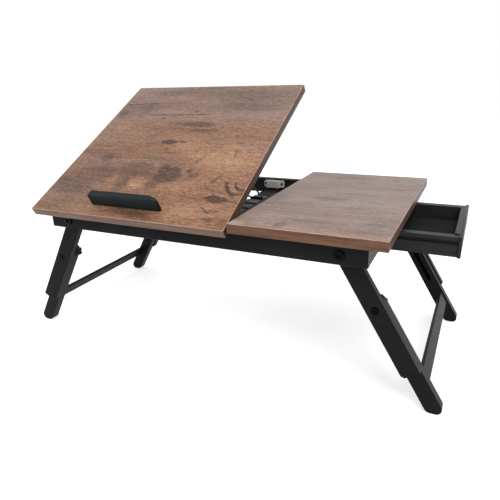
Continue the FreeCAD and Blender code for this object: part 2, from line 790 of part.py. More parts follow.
def knob(label, side, end):
    """Moulded clamp knob: a hub, a body and a ring of finger lobes, bored for the bolt."""
    body = new_body(label)
    core = new_sketch(body, "XZ_Plane")
    circle(core, "0", "-clamp_height", "knob_hub_radius")
    pad(body, core, "knob_hub_height", reverse=end < 0)
    grip = new_sketch(body, "XZ_Plane", ("-" if end < 0 else "") + "knob_hub_height")
    lobed_ring(grip)
    pad(body, grip, "knob_height", reverse=end < 0)
    bore = new_sketch(body, "XZ_Plane")
    circle(bore, "0", "-clamp_height", "clamp_radius + bolt_play")
    pocket(body, bore, "knob_hub_height + knob_bore_depth", reverse=end > 0)
    stand(body, side, end, "knob_face")
    return keep(body, label)


def lobed_ring(sketch):
    """Outer arcs of the lobes joined by straight sides, round the clamp bolt."""
    turn = 2 * math.pi / KNOB_LOBES
    axis = FreeCAD.Vector(0, 0, 1)
    size = SIZES["knob_lobe_radius"]
    ring = SIZES["knob_radius"] - size
    down = -SIZES["clamp_height"]
    tips = []
    for number in range(KNOB_LOBES):
        angle = number * turn + math.pi / 2
        middle = FreeCAD.Vector(ring * math.cos(angle), down + ring * math.sin(angle), 0)
        half = math.radians(100)
        arc = Part.ArcOfCircle(Part.Circle(middle, axis, size), angle - half, angle + half)
        tips.append((arc, middle, number))
        sketch.addGeometry(arc, False)
    for number in range(KNOB_LOBES):
        first = tips[number][0]
        second = tips[(number + 1) % KNOB_LOBES][0]
        start = first.EndPoint
        end = second.StartPoint
        line = Part.LineSegment(start, end)
        geo = sketch.addGeometry(line, False)
        sketch.addConstraint(Sketcher.Constraint("Coincident", number, 2, geo, 1))
        sketch.addConstraint(
            Sketcher.Constraint("Coincident", (number + 1) % KNOB_LOBES, 1, geo, 2)
        )
    for number in range(KNOB_LOBES):
        angle = math.degrees(number * turn + math.pi / 2)
        across = f"(knob_radius - knob_lobe_radius) * {math.cos(math.radians(angle)):.6f}"
        rise = f"(knob_radius - knob_lobe_radius) * {math.sin(math.radians(angle)):.6f}"
        pin_point(sketch, number, 3, across, rise + " - clamp_height")
        index = sketch.addConstraint(Sketcher.Constraint("Radius", number, size))
        bind(sketch, f"Constraints[{index}]", "knob_lobe_radius")


def legs():
    places = (("left", -1), ("right", 1))
    ends = (("front", -1), ("rear", 1))
    for name, side in places:
        for place_name, end in ends:
            outer_leg(f"outer_leg_{name}_{place_name}", side, end)
            inner_leg(f"inner_leg_{name}_{place_name}", side, end)
            knob(f"knob_{name}_{place_name}", side, end)
        stretcher("stretcher_" + name, side)
        group("clamp_bolts_" + name, [
            clamp_bolt(f"ClampBolt{name}{end}", side, end) for _, end in ends
        ])
        group("clamp_washers_" + name, [
            clamp_washer(f"ClampWasher{name}{end}", side, end) for _, end in ends
        ])


# ---------------------------------------------------------------- tilting top


def tilt_top():
    body = board(
        "tilt_top", "XY_Plane", "lid_left", "lid_right", "lid_front",
        "lid_front + desk_depth", "lid_thickness",
    )
    soften(body, "Chamfer", "top_arris", lambda a, b: min(a.z, b.z) > 1)
    body.Tip.Label = "TiltTopEdges"
    lift(body, "lid_low")
    keep(body, "tilt_top")


def lift(body, height):
    """Moves every sketch of a body up from its plane, then turns the body with the top."""
    for item in body.Group:
        if item.TypeId == "Sketcher::SketchObject":
            bind(item, "AttachmentOffset.Base.z", height)
    doc.recompute()
    on_lid(body)


def laptop_stop():
    """The ledge that holds a laptop on the tilted top, rounded at its right-hand end."""
    body = new_body("laptop_stop")
    sketch = new_sketch(body, "XZ_Plane", "-(lid_front + stop_setback)")
    rectangle(
        sketch, "lid_centre - stop_length / 2", "lid_centre + stop_length / 2",
        "lid_low + lid_thickness", "lid_low + lid_thickness + stop_height",
    )
    pad(body, sketch, "stop_width", reverse=True)
    points = [v.Point for v in body.Tip.Shape.Vertexes]
    right = max(p.x for p in points)
    front = min(p.y for p in points)
    back = max(p.y for p in points)
    top = max(p.z for p in points)

    def corner(a, b):
        return along("z")(a, b) and abs(a.x - right) < 1e-3 and abs(a.y - back) < 1e-3

    def long_edge(y):
        return lambda a, b: (
            along("x")(a, b) and abs(a.z - top) < 1e-3 and abs(a.y - y) < 1e-3
        )

    soften(body, "Fillet", "stop_corner_radius", corner)
    soften(body, "Fillet", "stop_back_radius", long_edge(back))
    soften(body, "Fillet", "stop_arris", long_edge(front))
    on_lid(body)
    keep(body, "laptop_stop")


def strike_plate():
    plate = box(
        "StrikeBlank", "strike_length", "strike_width", "strike_thickness",
        "-strike_length / 2",
        "rail_inside - hinge_back"
        " - (catch_body_depth + catch_ear_thickness + strike_width) / 2",
        "lid_low - strike_thickness",
    )
    holder = doc.addObject("Part::Compound", "StrikeSet")
    holder.Links = [plate]
    on_lid(holder)
    keep(holder, "strike_plate")


def prop_clips():
    """Two saddles that hold the turned-out ends of the prop under the tilting top."""
    clips = []
    for number, sign in enumerate(("", "-")):
        near = "(prop_half_width + prop_bend_radius + clip_side_gap)"
        left = near if sign == "" else f"-{near} - clip_width"
        wall = "(wire_radius + clip_play + clip_wall)"
        name = f"Clip{number}"
        block = box(
            name + "Block", "clip_width", wall + " * 2", "prop_drop", left,
            "prop_pivot_back - " + wall, "prop_pivot_up",
        )
        barrel = cylinder(
            name + "Barrel", wall, "clip_width", left, "prop_pivot_back", "prop_pivot_up",
            turn="90", about=(0, 1, 0),
        )
        flange = box(
            name + "Flange", "clip_width", wall + " * 2 + clip_flange * 2",
            "clip_flange_thickness", left, f"prop_pivot_back - {wall} - clip_flange",
            "lid_low - clip_flange_thickness",
        )
        bore = cylinder(
            name + "Bore", "wire_radius + clip_play", "clip_width + 2", left + " - 1",
            "prop_pivot_back", "prop_pivot_up", turn="90", about=(0, 1, 0),
        )
        clips.append(cut(name, fuse(name + "Blank", [block, barrel, flange]), bore))
    on_lid(group("prop_clips", clips))


def bend(name, x, z, quadrant):
    """A quarter bend of the wire in the XZ plane, from the given quadrant on."""
    part = doc.addObject("Part::Torus", name)
    bind(part, "Radius1", "prop_bend_radius")
    bind(part, "Radius2", "wire_radius")
    part.Angle3 = 90
    upright = FreeCAD.Rotation(FreeCAD.Vector(1, 0, 0), 90)
    spin = FreeCAD.Rotation(FreeCAD.Vector(0, 1, 0), -90 * quadrant)
    part.Placement = FreeCAD.Placement(FreeCAD.Vector(), spin.multiply(upright))
    bind(part, "Placement.Base.x", x)
    bind(part, "Placement.Base.z", z)
    return part


def tilt_prop():
    """A wire U: two turned-out ends, two arms and the crossbar that sits in the rack."""
    arm = "prop_length - prop_bend_radius * 2"
    span = "(prop_half_width - prop_bend_radius)"
    pieces = [
        cylinder("PropFoot", "wire_radius", span + " * 2", "-" + span, "0", "-prop_length",
                 turn="90", about=(0, 1, 0)),
    ]
    for number, sign in enumerate(("", "-")):
        pieces.append(cylinder(
            f"PropArm{number}", "wire_radius", arm, sign + "prop_half_width", "0",
            "-prop_length + prop_bend_radius",
        ))
        ends = "(prop_half_width + prop_bend_radius)"
        left = ends if sign == "" else f"-{ends} - (prop_end - prop_bend_radius)"
        pieces.append(cylinder(
            f"PropEnd{number}", "wire_radius", "prop_end - prop_bend_radius", left,
            turn="90", about=(0, 1, 0),
        ))
        pieces.append(bend(
            f"PropShoulder{number}", sign + ends, "-prop_bend_radius",
            1 if sign == "" else 0,
        ))
        pieces.append(bend(
            f"PropHeel{number}", sign + span, "-prop_length + prop_bend_radius",
            3 if sign == "" else 2,
        ))
    wire = keep(fuse("tilt_prop", pieces), "tilt_prop")
    place(wire, y="prop_back", z="prop_up", turn="prop_lean", about=(1, 0, 0))


# ---------------------------------------------------------------- drawer


def drawer():
    """Four boards round a thin bottom let into grooves, hung on its side grooves."""
    low = "top_underside - drawer_drop - drawer_height"
    inner = "(drawer_width / 2 - drawer_side_thickness)"
    tongue = f"({inner} + bottom_groove_depth)"
    for label, side in (("front", -1), ("rear", 1)):
        body = board(
            "drawer_side_" + label, "XZ_Plane", "0", "drawer_length", "0",
            "drawer_height", "drawer_side_thickness", reverse=side < 0,
        )
        runner = new_sketch(body, "XZ_Plane")
        rectangle(
            runner, "-1", "drawer_length",
            "drawer_height - runner_drop - runner_height - runner_gap",
            "drawer_height - runner_drop + runner_gap",
        )
        depth = "runner_width - drawer_side_gap + runner_gap"
        pocket(body, runner, depth, reverse=side > 0)
        reach = "(drawer_side_thickness - bottom_groove_depth)"
        groove = new_sketch(body, "XZ_Plane", ("-" if side < 0 else "") + reach)
        rectangle(
            groove, "-1", "drawer_length + 1", "bottom_lift",
            "bottom_lift + drawer_bottom_thickness",
        )
        pocket(body, groove, "bottom_groove_depth", reverse=side > 0)
        sign = "-" if side < 0 else "+"
        place(
            body, "drawer_back_end", f"drawer_centre {sign} drawer_width / 2", low,
        )
        keep(body, "drawer_side_" + label)
    front = board(
        "drawer_front", "YZ_Plane", "-drawer_front_width / 2", "drawer_front_width / 2",
        "-drawer_front_height", "0", "drawer_front_thickness",
    )
    outside = max(v.Point.x for v in front.Tip.Shape.Vertexes)
    soften(
        front, "Chamfer", "drawer_arris",
        lambda a, b: abs(a.x - outside) < 1e-3 and abs(b.x - outside) < 1e-3,
    )
    slot = new_sketch(front, "YZ_Plane")
    floor = (
        "drawer_front_drop - drawer_drop - drawer_height + bottom_lift"
    )
    rectangle(slot, "-" + tongue, tongue, floor, floor + " + drawer_bottom_thickness")
    pocket(front, slot, "bottom_groove_depth", reverse=True)
    place(
        front, "drawer_back_end + drawer_length", "drawer_centre",
        "top_underside - drawer_front_drop",
    )
    keep(front, "drawer_front")
    back = board(
        "drawer_back", "YZ_Plane", "-" + inner, inner,
        "bottom_lift + drawer_bottom_thickness", "drawer_height", "drawer_side_thickness",
    )
    place(back, "drawer_back_end", "drawer_centre", low)
    keep(back, "drawer_back")
    bottom = board(
        "drawer_bottom", "XY_Plane", "0", "drawer_length + bottom_groove_depth",
        "-" + tongue, tongue, "drawer_bottom_thickness",
    )
    place(bottom, "drawer_back_end", "drawer_centre", low + " + bottom_lift")
    keep(bottom, "drawer_bottom")


# ---------------------------------------------------------------- build and write


def check_all():
    """Stops with the names of whatever did not build."""
    doc.recompute()
    wrong = [o.Name for o in doc.Objects if {"Invalid", "Error"} & set(o.State)]
    wrong += [n.Label for n in nodes if n.Shape.isNull() or not n.Shape.isValid()]
    if wrong:
        raise RuntimeError("did not build: " + ", ".join(wrong))


def write_parts():
    os.makedirs("parts", exist_ok=True)
    for node in nodes:
        node.Shape.exportStep(os.path.join("parts", node.Label + ".step"))


fill_sheet(work_out(SIZES))
front_rail()
long_rail("rear_rail", 1)
side_rails()
drawer_supports()
side_top()
rack_batten()
magnetic_catch()
hinges()
pivot_bolts()
legs()
tilt_top()
laptop_stop()
strike_plate()
prop_clips()
tilt_prop()
drawer()
check_all()
write_parts()
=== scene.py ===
import json
import math

import bmesh
import bpy
from mathutils import Euler, Matrix, Vector


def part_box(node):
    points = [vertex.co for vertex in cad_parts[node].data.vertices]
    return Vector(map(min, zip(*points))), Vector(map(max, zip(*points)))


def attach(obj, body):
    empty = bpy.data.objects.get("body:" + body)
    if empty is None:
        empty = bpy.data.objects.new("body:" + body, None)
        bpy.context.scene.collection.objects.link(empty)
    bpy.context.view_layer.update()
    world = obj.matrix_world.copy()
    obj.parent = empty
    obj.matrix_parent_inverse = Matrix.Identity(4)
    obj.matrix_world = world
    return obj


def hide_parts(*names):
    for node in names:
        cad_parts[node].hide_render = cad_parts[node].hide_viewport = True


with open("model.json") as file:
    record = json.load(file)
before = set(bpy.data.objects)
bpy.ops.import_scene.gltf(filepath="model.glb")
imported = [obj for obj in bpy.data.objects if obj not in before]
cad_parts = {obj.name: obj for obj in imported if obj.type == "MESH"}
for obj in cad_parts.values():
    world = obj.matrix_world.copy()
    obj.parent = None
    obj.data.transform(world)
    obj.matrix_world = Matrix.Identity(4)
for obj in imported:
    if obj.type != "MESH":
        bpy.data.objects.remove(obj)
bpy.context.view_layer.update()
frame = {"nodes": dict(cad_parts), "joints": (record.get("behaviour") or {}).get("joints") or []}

NODES = frame["nodes"]
JOINTS = {joint["name"]: joint for joint in frame["joints"]}
MM = 0.001
WHITE = (1, 1, 1, 1)

# The view: camera place and angles, and the lens for the sensor's width.
CAMERA_MM = (357.9, -694.4, 421.1)
CAMERA_YAW, CAMERA_PITCH, CAMERA_ROLL = -26.25, 20.04, -2.00
CAMERA_LENS, CAMERA_SENSOR = 34.77, 36
CAMERA_SHIFT = (0.0017, -0.0048)
CAMERA_CLIP_MM = 10

# Lamps: name, place and aim (m), width of the disc (m), power (W).
LAMPS = (
    ("key", (0.9, -1.3, 1.7), (0.05, 0, 0.15), 1.1, 20),
    ("fill", (-1.5, -0.9, 1.2), (0, 0, 0.15), 1.6, 5),
    ("top", (0.1, 0.7, 2.0), (0, 0, 0.2), 1.4, 11),
)
# The world's strength for rays that light the stand, and for rays that look at it.
WORLD_LIGHTING, WORLD_SEEN = 0.45, 1.0
# The floor: half its side and its depth under the feet (m), its darkest and palest
# grey, and its glow for rays that look at it.
FLOOR_HALF, FLOOR_DEPTH = 6.0, 0.0003
FLOOR_GREYS = (0.86, 0.9)
FLOOR_GLOW = 0.60

# How far the tilting top leans in the frame, and a point of the line it turns about.
TILT = math.radians(28.5)
HINGE = Vector(JOINTS["lid_tilt"]["pos_m"])

# The ledge's corner radii across and up, from its front left corner round, and how far
# its top edges are eased at the front, at the back and over the swept corner (mm).
STOP_CORNERS = ((2.2, 2.2), (2.2, 2.2), (21, 12.8), (3.2, 3.2))
STOP_EASE = (1.3, 3.0, 4.5)
CORNER_STEPS, EASE_STEPS = 9, 5

# How far the drawer's sides run into its front, the gap left there, and how far the
# front's outer edges are eased (mm).
REBATE_MM, REBATE_GAP_MM = 5.5, 0.1
FACE_EASE_MM, FACE_EASE_STEPS = 0.8, 3

# A screw head's outline: reach and rise as shares of its radius and height.
HEAD_OUTLINE = ((1.0, 0.0), (1.0, 0.35), (0.93, 0.68), (0.78, 0.90), (0.58, 1.0))
HEAD_SIDES = 24
# Its cross recess: half width and arm as shares of the radius, then the floor's height
# and size as shares of the head's height and the mouth's size.
CROSS_HALF, CROSS_ARM = 0.11, 0.44
CROSS_FLOOR, CROSS_TAPER = 0.3, 0.8
# Screws (mm). A head is a radius and a height; the rest says where the screws sit:
# across the board, in from the part's edge, and up into or over the part.
CLIP_HEAD, CLIP_SCREWS_X, CLIP_IN, CLIP_SUNK = (2.1, 1.3), (-23, 23), 3.2, 1.6
STRIKE_HEAD, STRIKE_SCREWS_X = (2.2, 0.25), (-11.5, 11.5)
HINGES_X, LEAF_SPACING, LEAF_THICK = (-203.5, -3.5), 18, 1.2
MOVING_HEAD, MOVING_IN = (2.0, 0.25), 4.5
FIXED_HEAD, FIXED_IN = (1.7, 0.2), 2.2
CATCH_HEAD, CATCH_SCREW_X, CATCH_SUNK = (2.8, 1.4), 16.1, 3

# An edge that turns by less than the first of these (radians) is shaded smooth, and one
# that turns outwards by more than the second is square.
SMOOTH_BELOW, SQUARE_ABOVE = 0.6, 1.0
# Vertices this close (m) lie on one plane, or are one vertex.
ON_PLANE, SAME_PLACE = 1e-5, 1e-6

# The rack's top is painted paler, as painted sheen, from its front end to this line behind
# its last notch, and the sheen fades out past it (mm along Y) into the dark base as painted
# shade. The sheen's darkest tone is a share of its palest.
RACK_SHEEN_TO_MM, SHEEN_FADE_MM = 102, 4
SHEEN_DARK = 0.8

# The Mix node's colour inputs and result.
MIX_A, MIX_B, MIX_RESULT = 6, 7, 2
# The way a seed moves noise.
SEED_WAY = (1.0, 0.7, 1.3)

# Layers of the printed grain, from fine threads to broad boards of tone: scale along
# each axis (1/m), detail, roughness and seed.
GRAIN = {
    "threads": ((110, 430, 430), 4, 0.70, 0.0),
    "streaks": ((14, 140, 140), 4, 0.62, 1.7),
    "boards": ((3.2, 24, 24), 3, 0.55, 5.2),
    "patches": ((18, 40, 40), 4, 0.62, 11.3),
    "mottle": ((300, 460, 460), 3, 0.74, 7.7),
}
# A mark fades out at this many of its half lengths. Its edges are shaken (m): by a comb
# and by crumbs along the grain, by a wave and by crumbs across it. Strokes take only a
# share of that.
MARK_END = 1.25
COMB_ALONG, CRUMB_ALONG = 0.018, 0.008
WAVE_ACROSS, CRUMB_ACROSS = 0.010, 0.007
STROKE_SHAKE = 0.35
# What pale and dark patches add to the tone, and what the boards, the hue and the
# patches add to the mauve share of the wood.
TONE_GLOW, TONE_SHADE = 0.14, -0.15
MAUVE_BOARDS, MAUVE_HUE, MAUVE_GLOW, MAUVE_SHADE = 1.4, 1.6, -0.9, 0.7

# ------------------------------------------------------------------ marks in the wood

# The tilting top's marks: place across and up the board from the hinge line (mm),
# half lengths along and across the grain (mm), strength, softness of the edge.
TILT_MARKS = [
    (-82, 216, 32, 7, 0.75, 0.45), (-112, 217, 36, 5, 0.40, 0.6),
    (-68, 199, 29, 5.5, 0.50, 0.7), (-113, 166, 17, 6, 0.85, 0.5),
    (-88, 167, 8, 3, 0.60, 0.6), (-109, 148, 4, 5, 0.60, 0.6),
    (-210, 118, 14, 9, 0.60, 0.6), (-137, 95, 34, 20, 0.35, 0.7),
    (-143, 60, 11, 16, 0.35, 0.6), (-66, 90, 15, 16, 0.72, 0.45),
    (-84, 97, 12, 12, 0.80, 0.5), (-76, 78, 19, 12, 0.76, 0.5), (-60, 79, 10, 9, 0.60, 0.6),
    (-89, 60, 13, 12, 0.50, 0.8), (-39, 98, 5, 5, 0.85, 0.5),
    (-28, 88, 9, 6, 0.50, 0.7), (31, 42, 17, 6.3, 0.90, 0.4),
    (37, 19, 10, 5, 0.50, 0.8), (37, 3, 9, 4, 0.60, 0.7),
    (-163, 234, 5, 4, 0.70, 0.6), (-214, 235, 3.5, 3.5, 0.60, 0.6),
    (-103, 255, 5, 4, 0.65, 0.6), (-87, 247, 9, 3, 0.50, 0.7),
    (-261, 246, 10, 14, 0.45, 0.8), (-213, 264, 16, 16, 0.35, 0.8),
    (15, 168, 7, 2, 0.60, 0.6), (28, 262, 60, 5, 0.30, 0.8),
    (-95, 312, 60, 22, 0.20, 0.9), (-190, 312, 34, 12, 0.30, 0.9),
    (-85, 0, 26, 7, 0.50, 0.8), (-250, 196, 10, 2, 0.40, 0.8),
    (-235, 40, 40, 20, 0.25, 0.9), (-200, 92, 12, 14, 0.35, 0.8),
]
# Its lines and slanting marks: from and to (mm), half width (mm), strength, softness.
TILT_LINES = [
    (35, 77, 36, 70, 2.3, 1.00, 0.6), (36, 70, 41, 63, 3.0, 1.00, 0.5),
    (41, 63, 46, 57, 2.7, 1.00, 0.5), (46, 57, 52, 54, 3.2, 1.00, 0.5),
    (52, 54, 59, 55, 2.8, 0.95, 0.6), (59, 55, 68, 58, 2.1, 0.90, 0.6),
    (22, 83, 35, 77, 0.9, 0.55, 0.8), (48, 77, 51, 70, 1.8, 0.90, 0.7),
    (51, 70, 58, 65, 2.4, 1.00, 0.6), (58, 65, 68, 64, 1.8, 0.90, 0.7),
    (50, 54, 56, 48, 2.0, 0.55, 0.8), (0, 74, 2, 68, 0.9, 0.55, 0.8),
    (2, 68, 9, 62, 1.1, 0.65, 0.7), (9, 62, 20, 58, 1.1, 0.70, 0.7),
    (20, 58, 44, 54, 0.9, 0.60, 0.8), (-6, 69, 4, 60, 0.7, 0.40, 0.8),
    (4, 60, 26, 51, 0.7, 0.40, 0.8), (18, 91, 9, 76, 2.6, 0.60, 0.6),
    (47, 41, 66, 39, 1.2, 0.80, 0.6), (18, 24, 32, 14, 1.4, 0.80, 0.6),
    (-29, 136, -38, 116, 3.2, 0.42, 0.7), (18, 152, 22, 133, 2.0, 0.50, 0.7),
    (-113, 139, -86, 138, 0.9, 0.80, 0.6), (-268, 275, -200, 280, 1.3, 0.95, 0.6),
    (-203, 281, -140, 281, 0.9, 0.60, 0.7), (-197, 243, -128, 243, 1.3, 1.00, 0.5),
    (-128, 244, -68, 246, 0.9, 0.75, 0.7), (-68, 248, 20, 251, 0.8, 0.45, 0.8),
    (-262, 58, -205, 52, 0.9, 0.60, 0.7), (-240, 65, -180, 60, 0.8, 0.50, 0.7),
    (-265, 150, -226, 148, 0.8, 0.45, 0.8), (-258, 213, -190, 211, 0.8, 0.40, 0.8),
    (-225, 44, -140, 38, 0.8, 0.40, 0.8), (22, 230, 44, 230, 0.8, 0.45, 0.8),
    (-130, 202, -106, 204, 0.8, 0.55, 0.7), (40, 212, 60, 210, 0.8, 0.40, 0.8),
    (-258, 100, -240, 96, 0.8, 0.45, 0.8), (-200, 72, -175, 74, 0.8, 0.40, 0.8),
]
# Its pale patches, where the wood turns golden, in the columns of the marks.
TILT_GLOWS = [
    (-167, 69, 10, 9, 1.0, 0.6), (-117, 63, 16, 11, 1.0, 0.6),
    (51, 69, 6, 5, 0.9, 0.7), (10, 125, 70, 34, 0.75, 1.0),
    (-60, 150, 60, 24, 0.35, 1.0), (-215, 205, 40, 16, 0.35, 1.0),
    (0, 10, 70, 26, 0.75, 1.0), (-30, 60, 40, 20, 0.6, 1.0),
    (-240, 20, 30, 14, 0.35, 1.0),
]
# Its dark patches, where the wood turns mauve.
TILT_SHADES = [
    (-190, 82, 70, 30, 0.9, 1.0), (-137, 90, 36, 24, 0.8, 1.0),
    (-145, 55, 16, 20, 0.7, 1.0), (-225, 100, 46, 26, 0.5, 1.0),
    (-10, 300, 80, 50, 0.7, 1.0), (-255, 250, 24, 26, 0.5, 1.0),
    (-215, 262, 28, 24, 0.4, 1.0), (-215, 172, 30, 16, 0.3, 1.0),
    (-205, 16, 40, 20, 0.5, 1.0), (-90, 2, 60, 10, 0.7, 1.0),
    (-190, 320, 60, 20, 0.4, 1.0), (-240, 48, 40, 10, 0.6, 1.0),
    (-215, 130, 80, 50, 0.5, 1.0), (-235, 40, 60, 60, 0.9, 1.0),
    (-100, 100, 90, 50, 0.5, 1.0),
]
# The same four tables for the flat side top, placed in the frame's X and Y (mm).
SIDE_MARKS = [
    (158, -12, 30, 9, 0.60, 0.7), (152, -22, 14, 7, 0.45, 0.8),
    (84, -25, 13, 22, 0.45, 0.8), (136, -155, 7, 14, 0.55, 0.5),
    (119, -158, 3, 5, 0.60, 0.7), (120, -62, 26, 4, 0.35, 0.9),
    (252, -118, 24, 6, 0.50, 0.9), (250, -152, 30, 5, 0.45, 0.8),
    (170, 140, 26, 12, 0.45, 0.9), (230, 134, 8, 9, 0.50, 0.8),
    (245, 72, 14, 8, 0.45, 0.9), (110, 48, 30, 5, 0.30, 1.0),
    (195, 25, 40, 6, 0.30, 1.0), (232, -18, 20, 5, 0.35, 1.0),
    (178, -128, 36, 9, 0.35, 1.0), (95, -98, 26, 3, 0.40, 0.9),
    (180, 105, 10, 10, 0.35, 0.9), (135, 130, 8, 12, 0.40, 0.9),
    (205, -75, 36, 5, 0.30, 1.0), (190, -150, 14, 10, 0.25, 1.0),
]
SIDE_LINES = [
    (74, -100, 140, -99, 0.9, 0.45, 0.8), (190, -55, 250, -56, 0.8, 0.35, 0.8),
    (228, -142, 272, -140, 0.9, 0.55, 0.8), (226, -158, 270, -160, 0.8, 0.50, 0.8),
    (130, 12, 190, 10, 0.8, 0.35, 0.8), (180, 62, 250, 58, 0.8, 0.35, 0.8),
    (96, 78, 170, 80, 0.8, 0.35, 0.8), (130, 152, 230, 150, 0.8, 0.35, 0.8),
    (240, 100, 272, 102, 0.8, 0.40, 0.8), (150, -38, 174, -37, 0.8, 0.40, 0.8),
    (130, -148, 132, -170, 1.2, 0.45, 0.7), (142, -145, 143, -168, 1.0, 0.40, 0.7),
    (150, -170, 210, -162, 1.0, 0.35, 0.8), (205, -92, 272, -90, 0.8, 0.30, 0.8),
]
SIDE_SHADES = [
    (90, 150, 30, 20, 0.5, 1.0), (150, 150, 60, 26, 0.5, 1.0),
    (240, 150, 40, 20, 0.4, 1.0), (160, -12, 40, 14, 0.4, 1.0),
    (250, -130, 40, 14, 0.3, 1.0), (160, -132, 50, 12, 0.4, 1.0),
]
SIDE_GLOWS = [
    (78, -165, 14, 12, 1.6, 1.0), (130, 15, 40, 7, 0.4, 1.0),
    (110, -128, 34, 10, 0.4, 1.0), (235, -170, 50, 7, 0.7, 1.0),
    (150, -168, 60, 8, 0.4, 1.0), (100, 90, 40, 30, 0.3, 1.0),
]


# ------------------------------------------------------------------ node helpers


class Tree:
    """Short calls for building the nodes of a material or of the world."""

    def __init__(self, owner, output):
        owner.use_nodes = True
        self.owner = owner
        self.tree = owner.node_tree
        self.tree.nodes.clear()
        self.out = self.new(output)

    def new(self, kind, **settings):
        node = self.tree.nodes.new("ShaderNode" + kind)
        for key, value in settings.items():
            setattr(node, key, value)
        return node

    def link(self, source, target):
        self.tree.links.new(source, target)

    def put(self, socket, value):
        if isinstance(value, bpy.types.NodeSocket):
            self.link(value, socket)
        else:
            socket.default_value = value

    def finish(self, shader):
        """Links the last shader to the output; returns the material or the world."""
        self.link(shader.outputs[0], self.out.inputs[0])
        return self.owner

    def math(self, operation, a, b=0.0, c=0.0, clamp=False):
        node = self.new("Math", operation=operation, use_clamp=clamp)
        for socket, value in zip(node.inputs, (a, b, c)):
            self.put(socket, value)
        return node.outputs[0]

    def vector(self, operation, a, b=(0, 0, 0)):
        node = self.new("VectorMath", operation=operation)
        self.put(node.inputs[0], a)
        self.put(node.inputs[1], b)
        number = operation in ("LENGTH", "DOT_PRODUCT")
        return node.outputs["Value"] if number else node.outputs[0]

    def scaled(self, vector, by):
        node = self.new("VectorMath", operation="SCALE")
        self.put(node.inputs[0], vector)
        self.put(node.inputs["Scale"], by)
        return node.outputs[0]

    def coords(self, turn=None, move=None):
        """Object coordinates in metres, turned and moved where that is asked for."""
        source = self.new("TexCoord").outputs["Object"]
        if turn is None:
            return source
        node = self.new("Mapping", vector_type="POINT")
        self.link(source, node.inputs[0])
        node.inputs["Rotation"].default_value = turn
        node.inputs["Location"].default_value = move
        return node.outputs[0]

    def facing(self, way):
        """How squarely the surface faces a way, from 1 towards it to -1 away from it."""
        return self.vector("DOT_PRODUCT", self.new("TexCoord").outputs["Normal"], way)

    def part_y(self, at):
        node = self.new("SeparateXYZ")
        self.link(at, node.inputs[0])
        return node.outputs[1]

    def seen(self):
        """1 for the rays that look at a surface: camera, glossy and transmission rays."""
        rays = self.new("LightPath").outputs
        seen = self.math("MAXIMUM", rays["Is Camera Ray"], rays["Is Glossy Ray"])
        return self.math("MAXIMUM", seen, rays["Is Transmission Ray"])

    def noise(self, at, scale, detail=3.0, rough=0.5, seed=0.0):
        """Noise over coordinates stretched by a scale for each axis (1/m)."""
        stretched = self.vector("MULTIPLY", at, scale)
        if seed:
            stretched = self.vector("ADD", stretched, tuple(seed * one for one in SEED_WAY))
        node = self.new("TexNoise")
        self.link(stretched, node.inputs["Vector"])
        node.inputs["Scale"].default_value = 1.0
        node.inputs["Detail"].default_value = detail
        node.inputs["Roughness"].default_value = rough
        return node.outputs[0]

    def remap(self, value, low, high, to_low=0.0, to_high=1.0, smooth=True):
        node = self.new("MapRange", interpolation_type="SMOOTHSTEP" if smooth else "LINEAR")
        self.put(node.inputs[0], value)
        for index, number in enumerate((low, high, to_low, to_high), start=1):
            node.inputs[index].default_value = number
        return node.outputs[0]

    def ramp(self, value, stops):
        node = self.new("ValToRGB")
        self.link(value, node.inputs[0])
        ramp = node.color_ramp
        while len(ramp.elements) < len(stops):
            ramp.elements.new(0.5)
        for element, (place, colour) in zip(ramp.elements, stops):
            element.position = place
            element.color = (*colour, 1)
        return node.outputs[0]

    def mix(self, factor, a, b, blend="MIX"):
        node = self.new("Mix", data_type="RGBA", blend_type=blend)
        self.put(node.inputs[0], factor)
        for index, colour in ((MIX_A, a), (MIX_B, b)):
            self.put(node.inputs[index], (*colour, 1) if isinstance(colour, tuple) else colour)
        return node.outputs[MIX_RESULT]

    def bump(self, height, strength, distance, radius):
        """A bumped normal over edges that are rounded by a radius (m)."""
        node = self.new("Bump")
        self.link(height, node.inputs["Height"])
        node.inputs["Strength"].default_value = strength
        node.inputs["Distance"].default_value = distance
        bevel = self.new("Bevel", samples=4)
        bevel.inputs["Radius"].default_value = radius
        self.link(bevel.outputs[0], node.inputs["Normal"])
        return node.outputs[0]

    def surface(self, colour, rough, normal, **fixed):
        shader = self.new("BsdfPrincipled")
        self.link(colour, shader.inputs["Base Color"])
        self.link(rough, shader.inputs["Roughness"])
        self.link(normal, shader.inputs["Normal"])
        for name, value in fixed.items():
            shader.inputs[name.replace("_", " ")].default_value = value
        return self.finish(shader)


def material_tree(name):
    return Tree(bpy.data.materials.new(name), "OutputMaterial")


def srgb(*values):
    """An sRGB colour of 0..255 as linear numbers."""
    return tuple(
        (v / 255) / 12.92 if v <= 10 else ((v / 255 + 0.055) / 1.055) ** 2.4 for v in values
    )


# ------------------------------------------------------------------ camera, floor, light


def make_camera():
    yaw, pitch, roll = (math.radians(a) for a in (CAMERA_YAW, CAMERA_PITCH, CAMERA_ROLL))
    ahead = Vector((
        math.sin(yaw) * math.cos(pitch), math.cos(yaw) * math.cos(pitch), -math.sin(pitch),
    ))
    level = Vector((math.cos(yaw), -math.sin(yaw), 0))
    above = level.cross(ahead)
    right = level * math.cos(roll) + above * math.sin(roll)
    up = above * math.cos(roll) - level * math.sin(roll)
    data = bpy.data.cameras.new("camera")
    data.sensor_width = CAMERA_SENSOR
    data.lens = CAMERA_LENS
    data.shift_x, data.shift_y = CAMERA_SHIFT
    data.clip_start = CAMERA_CLIP_MM * MM
    camera = bpy.data.objects.new("camera", data)
    turn = Matrix((right, up, -ahead)).transposed().to_4x4()
    camera.matrix_world = Matrix.Translation(Vector(CAMERA_MM) * MM) @ turn
    bpy.context.scene.collection.objects.link(camera)
    bpy.context.scene.camera = camera


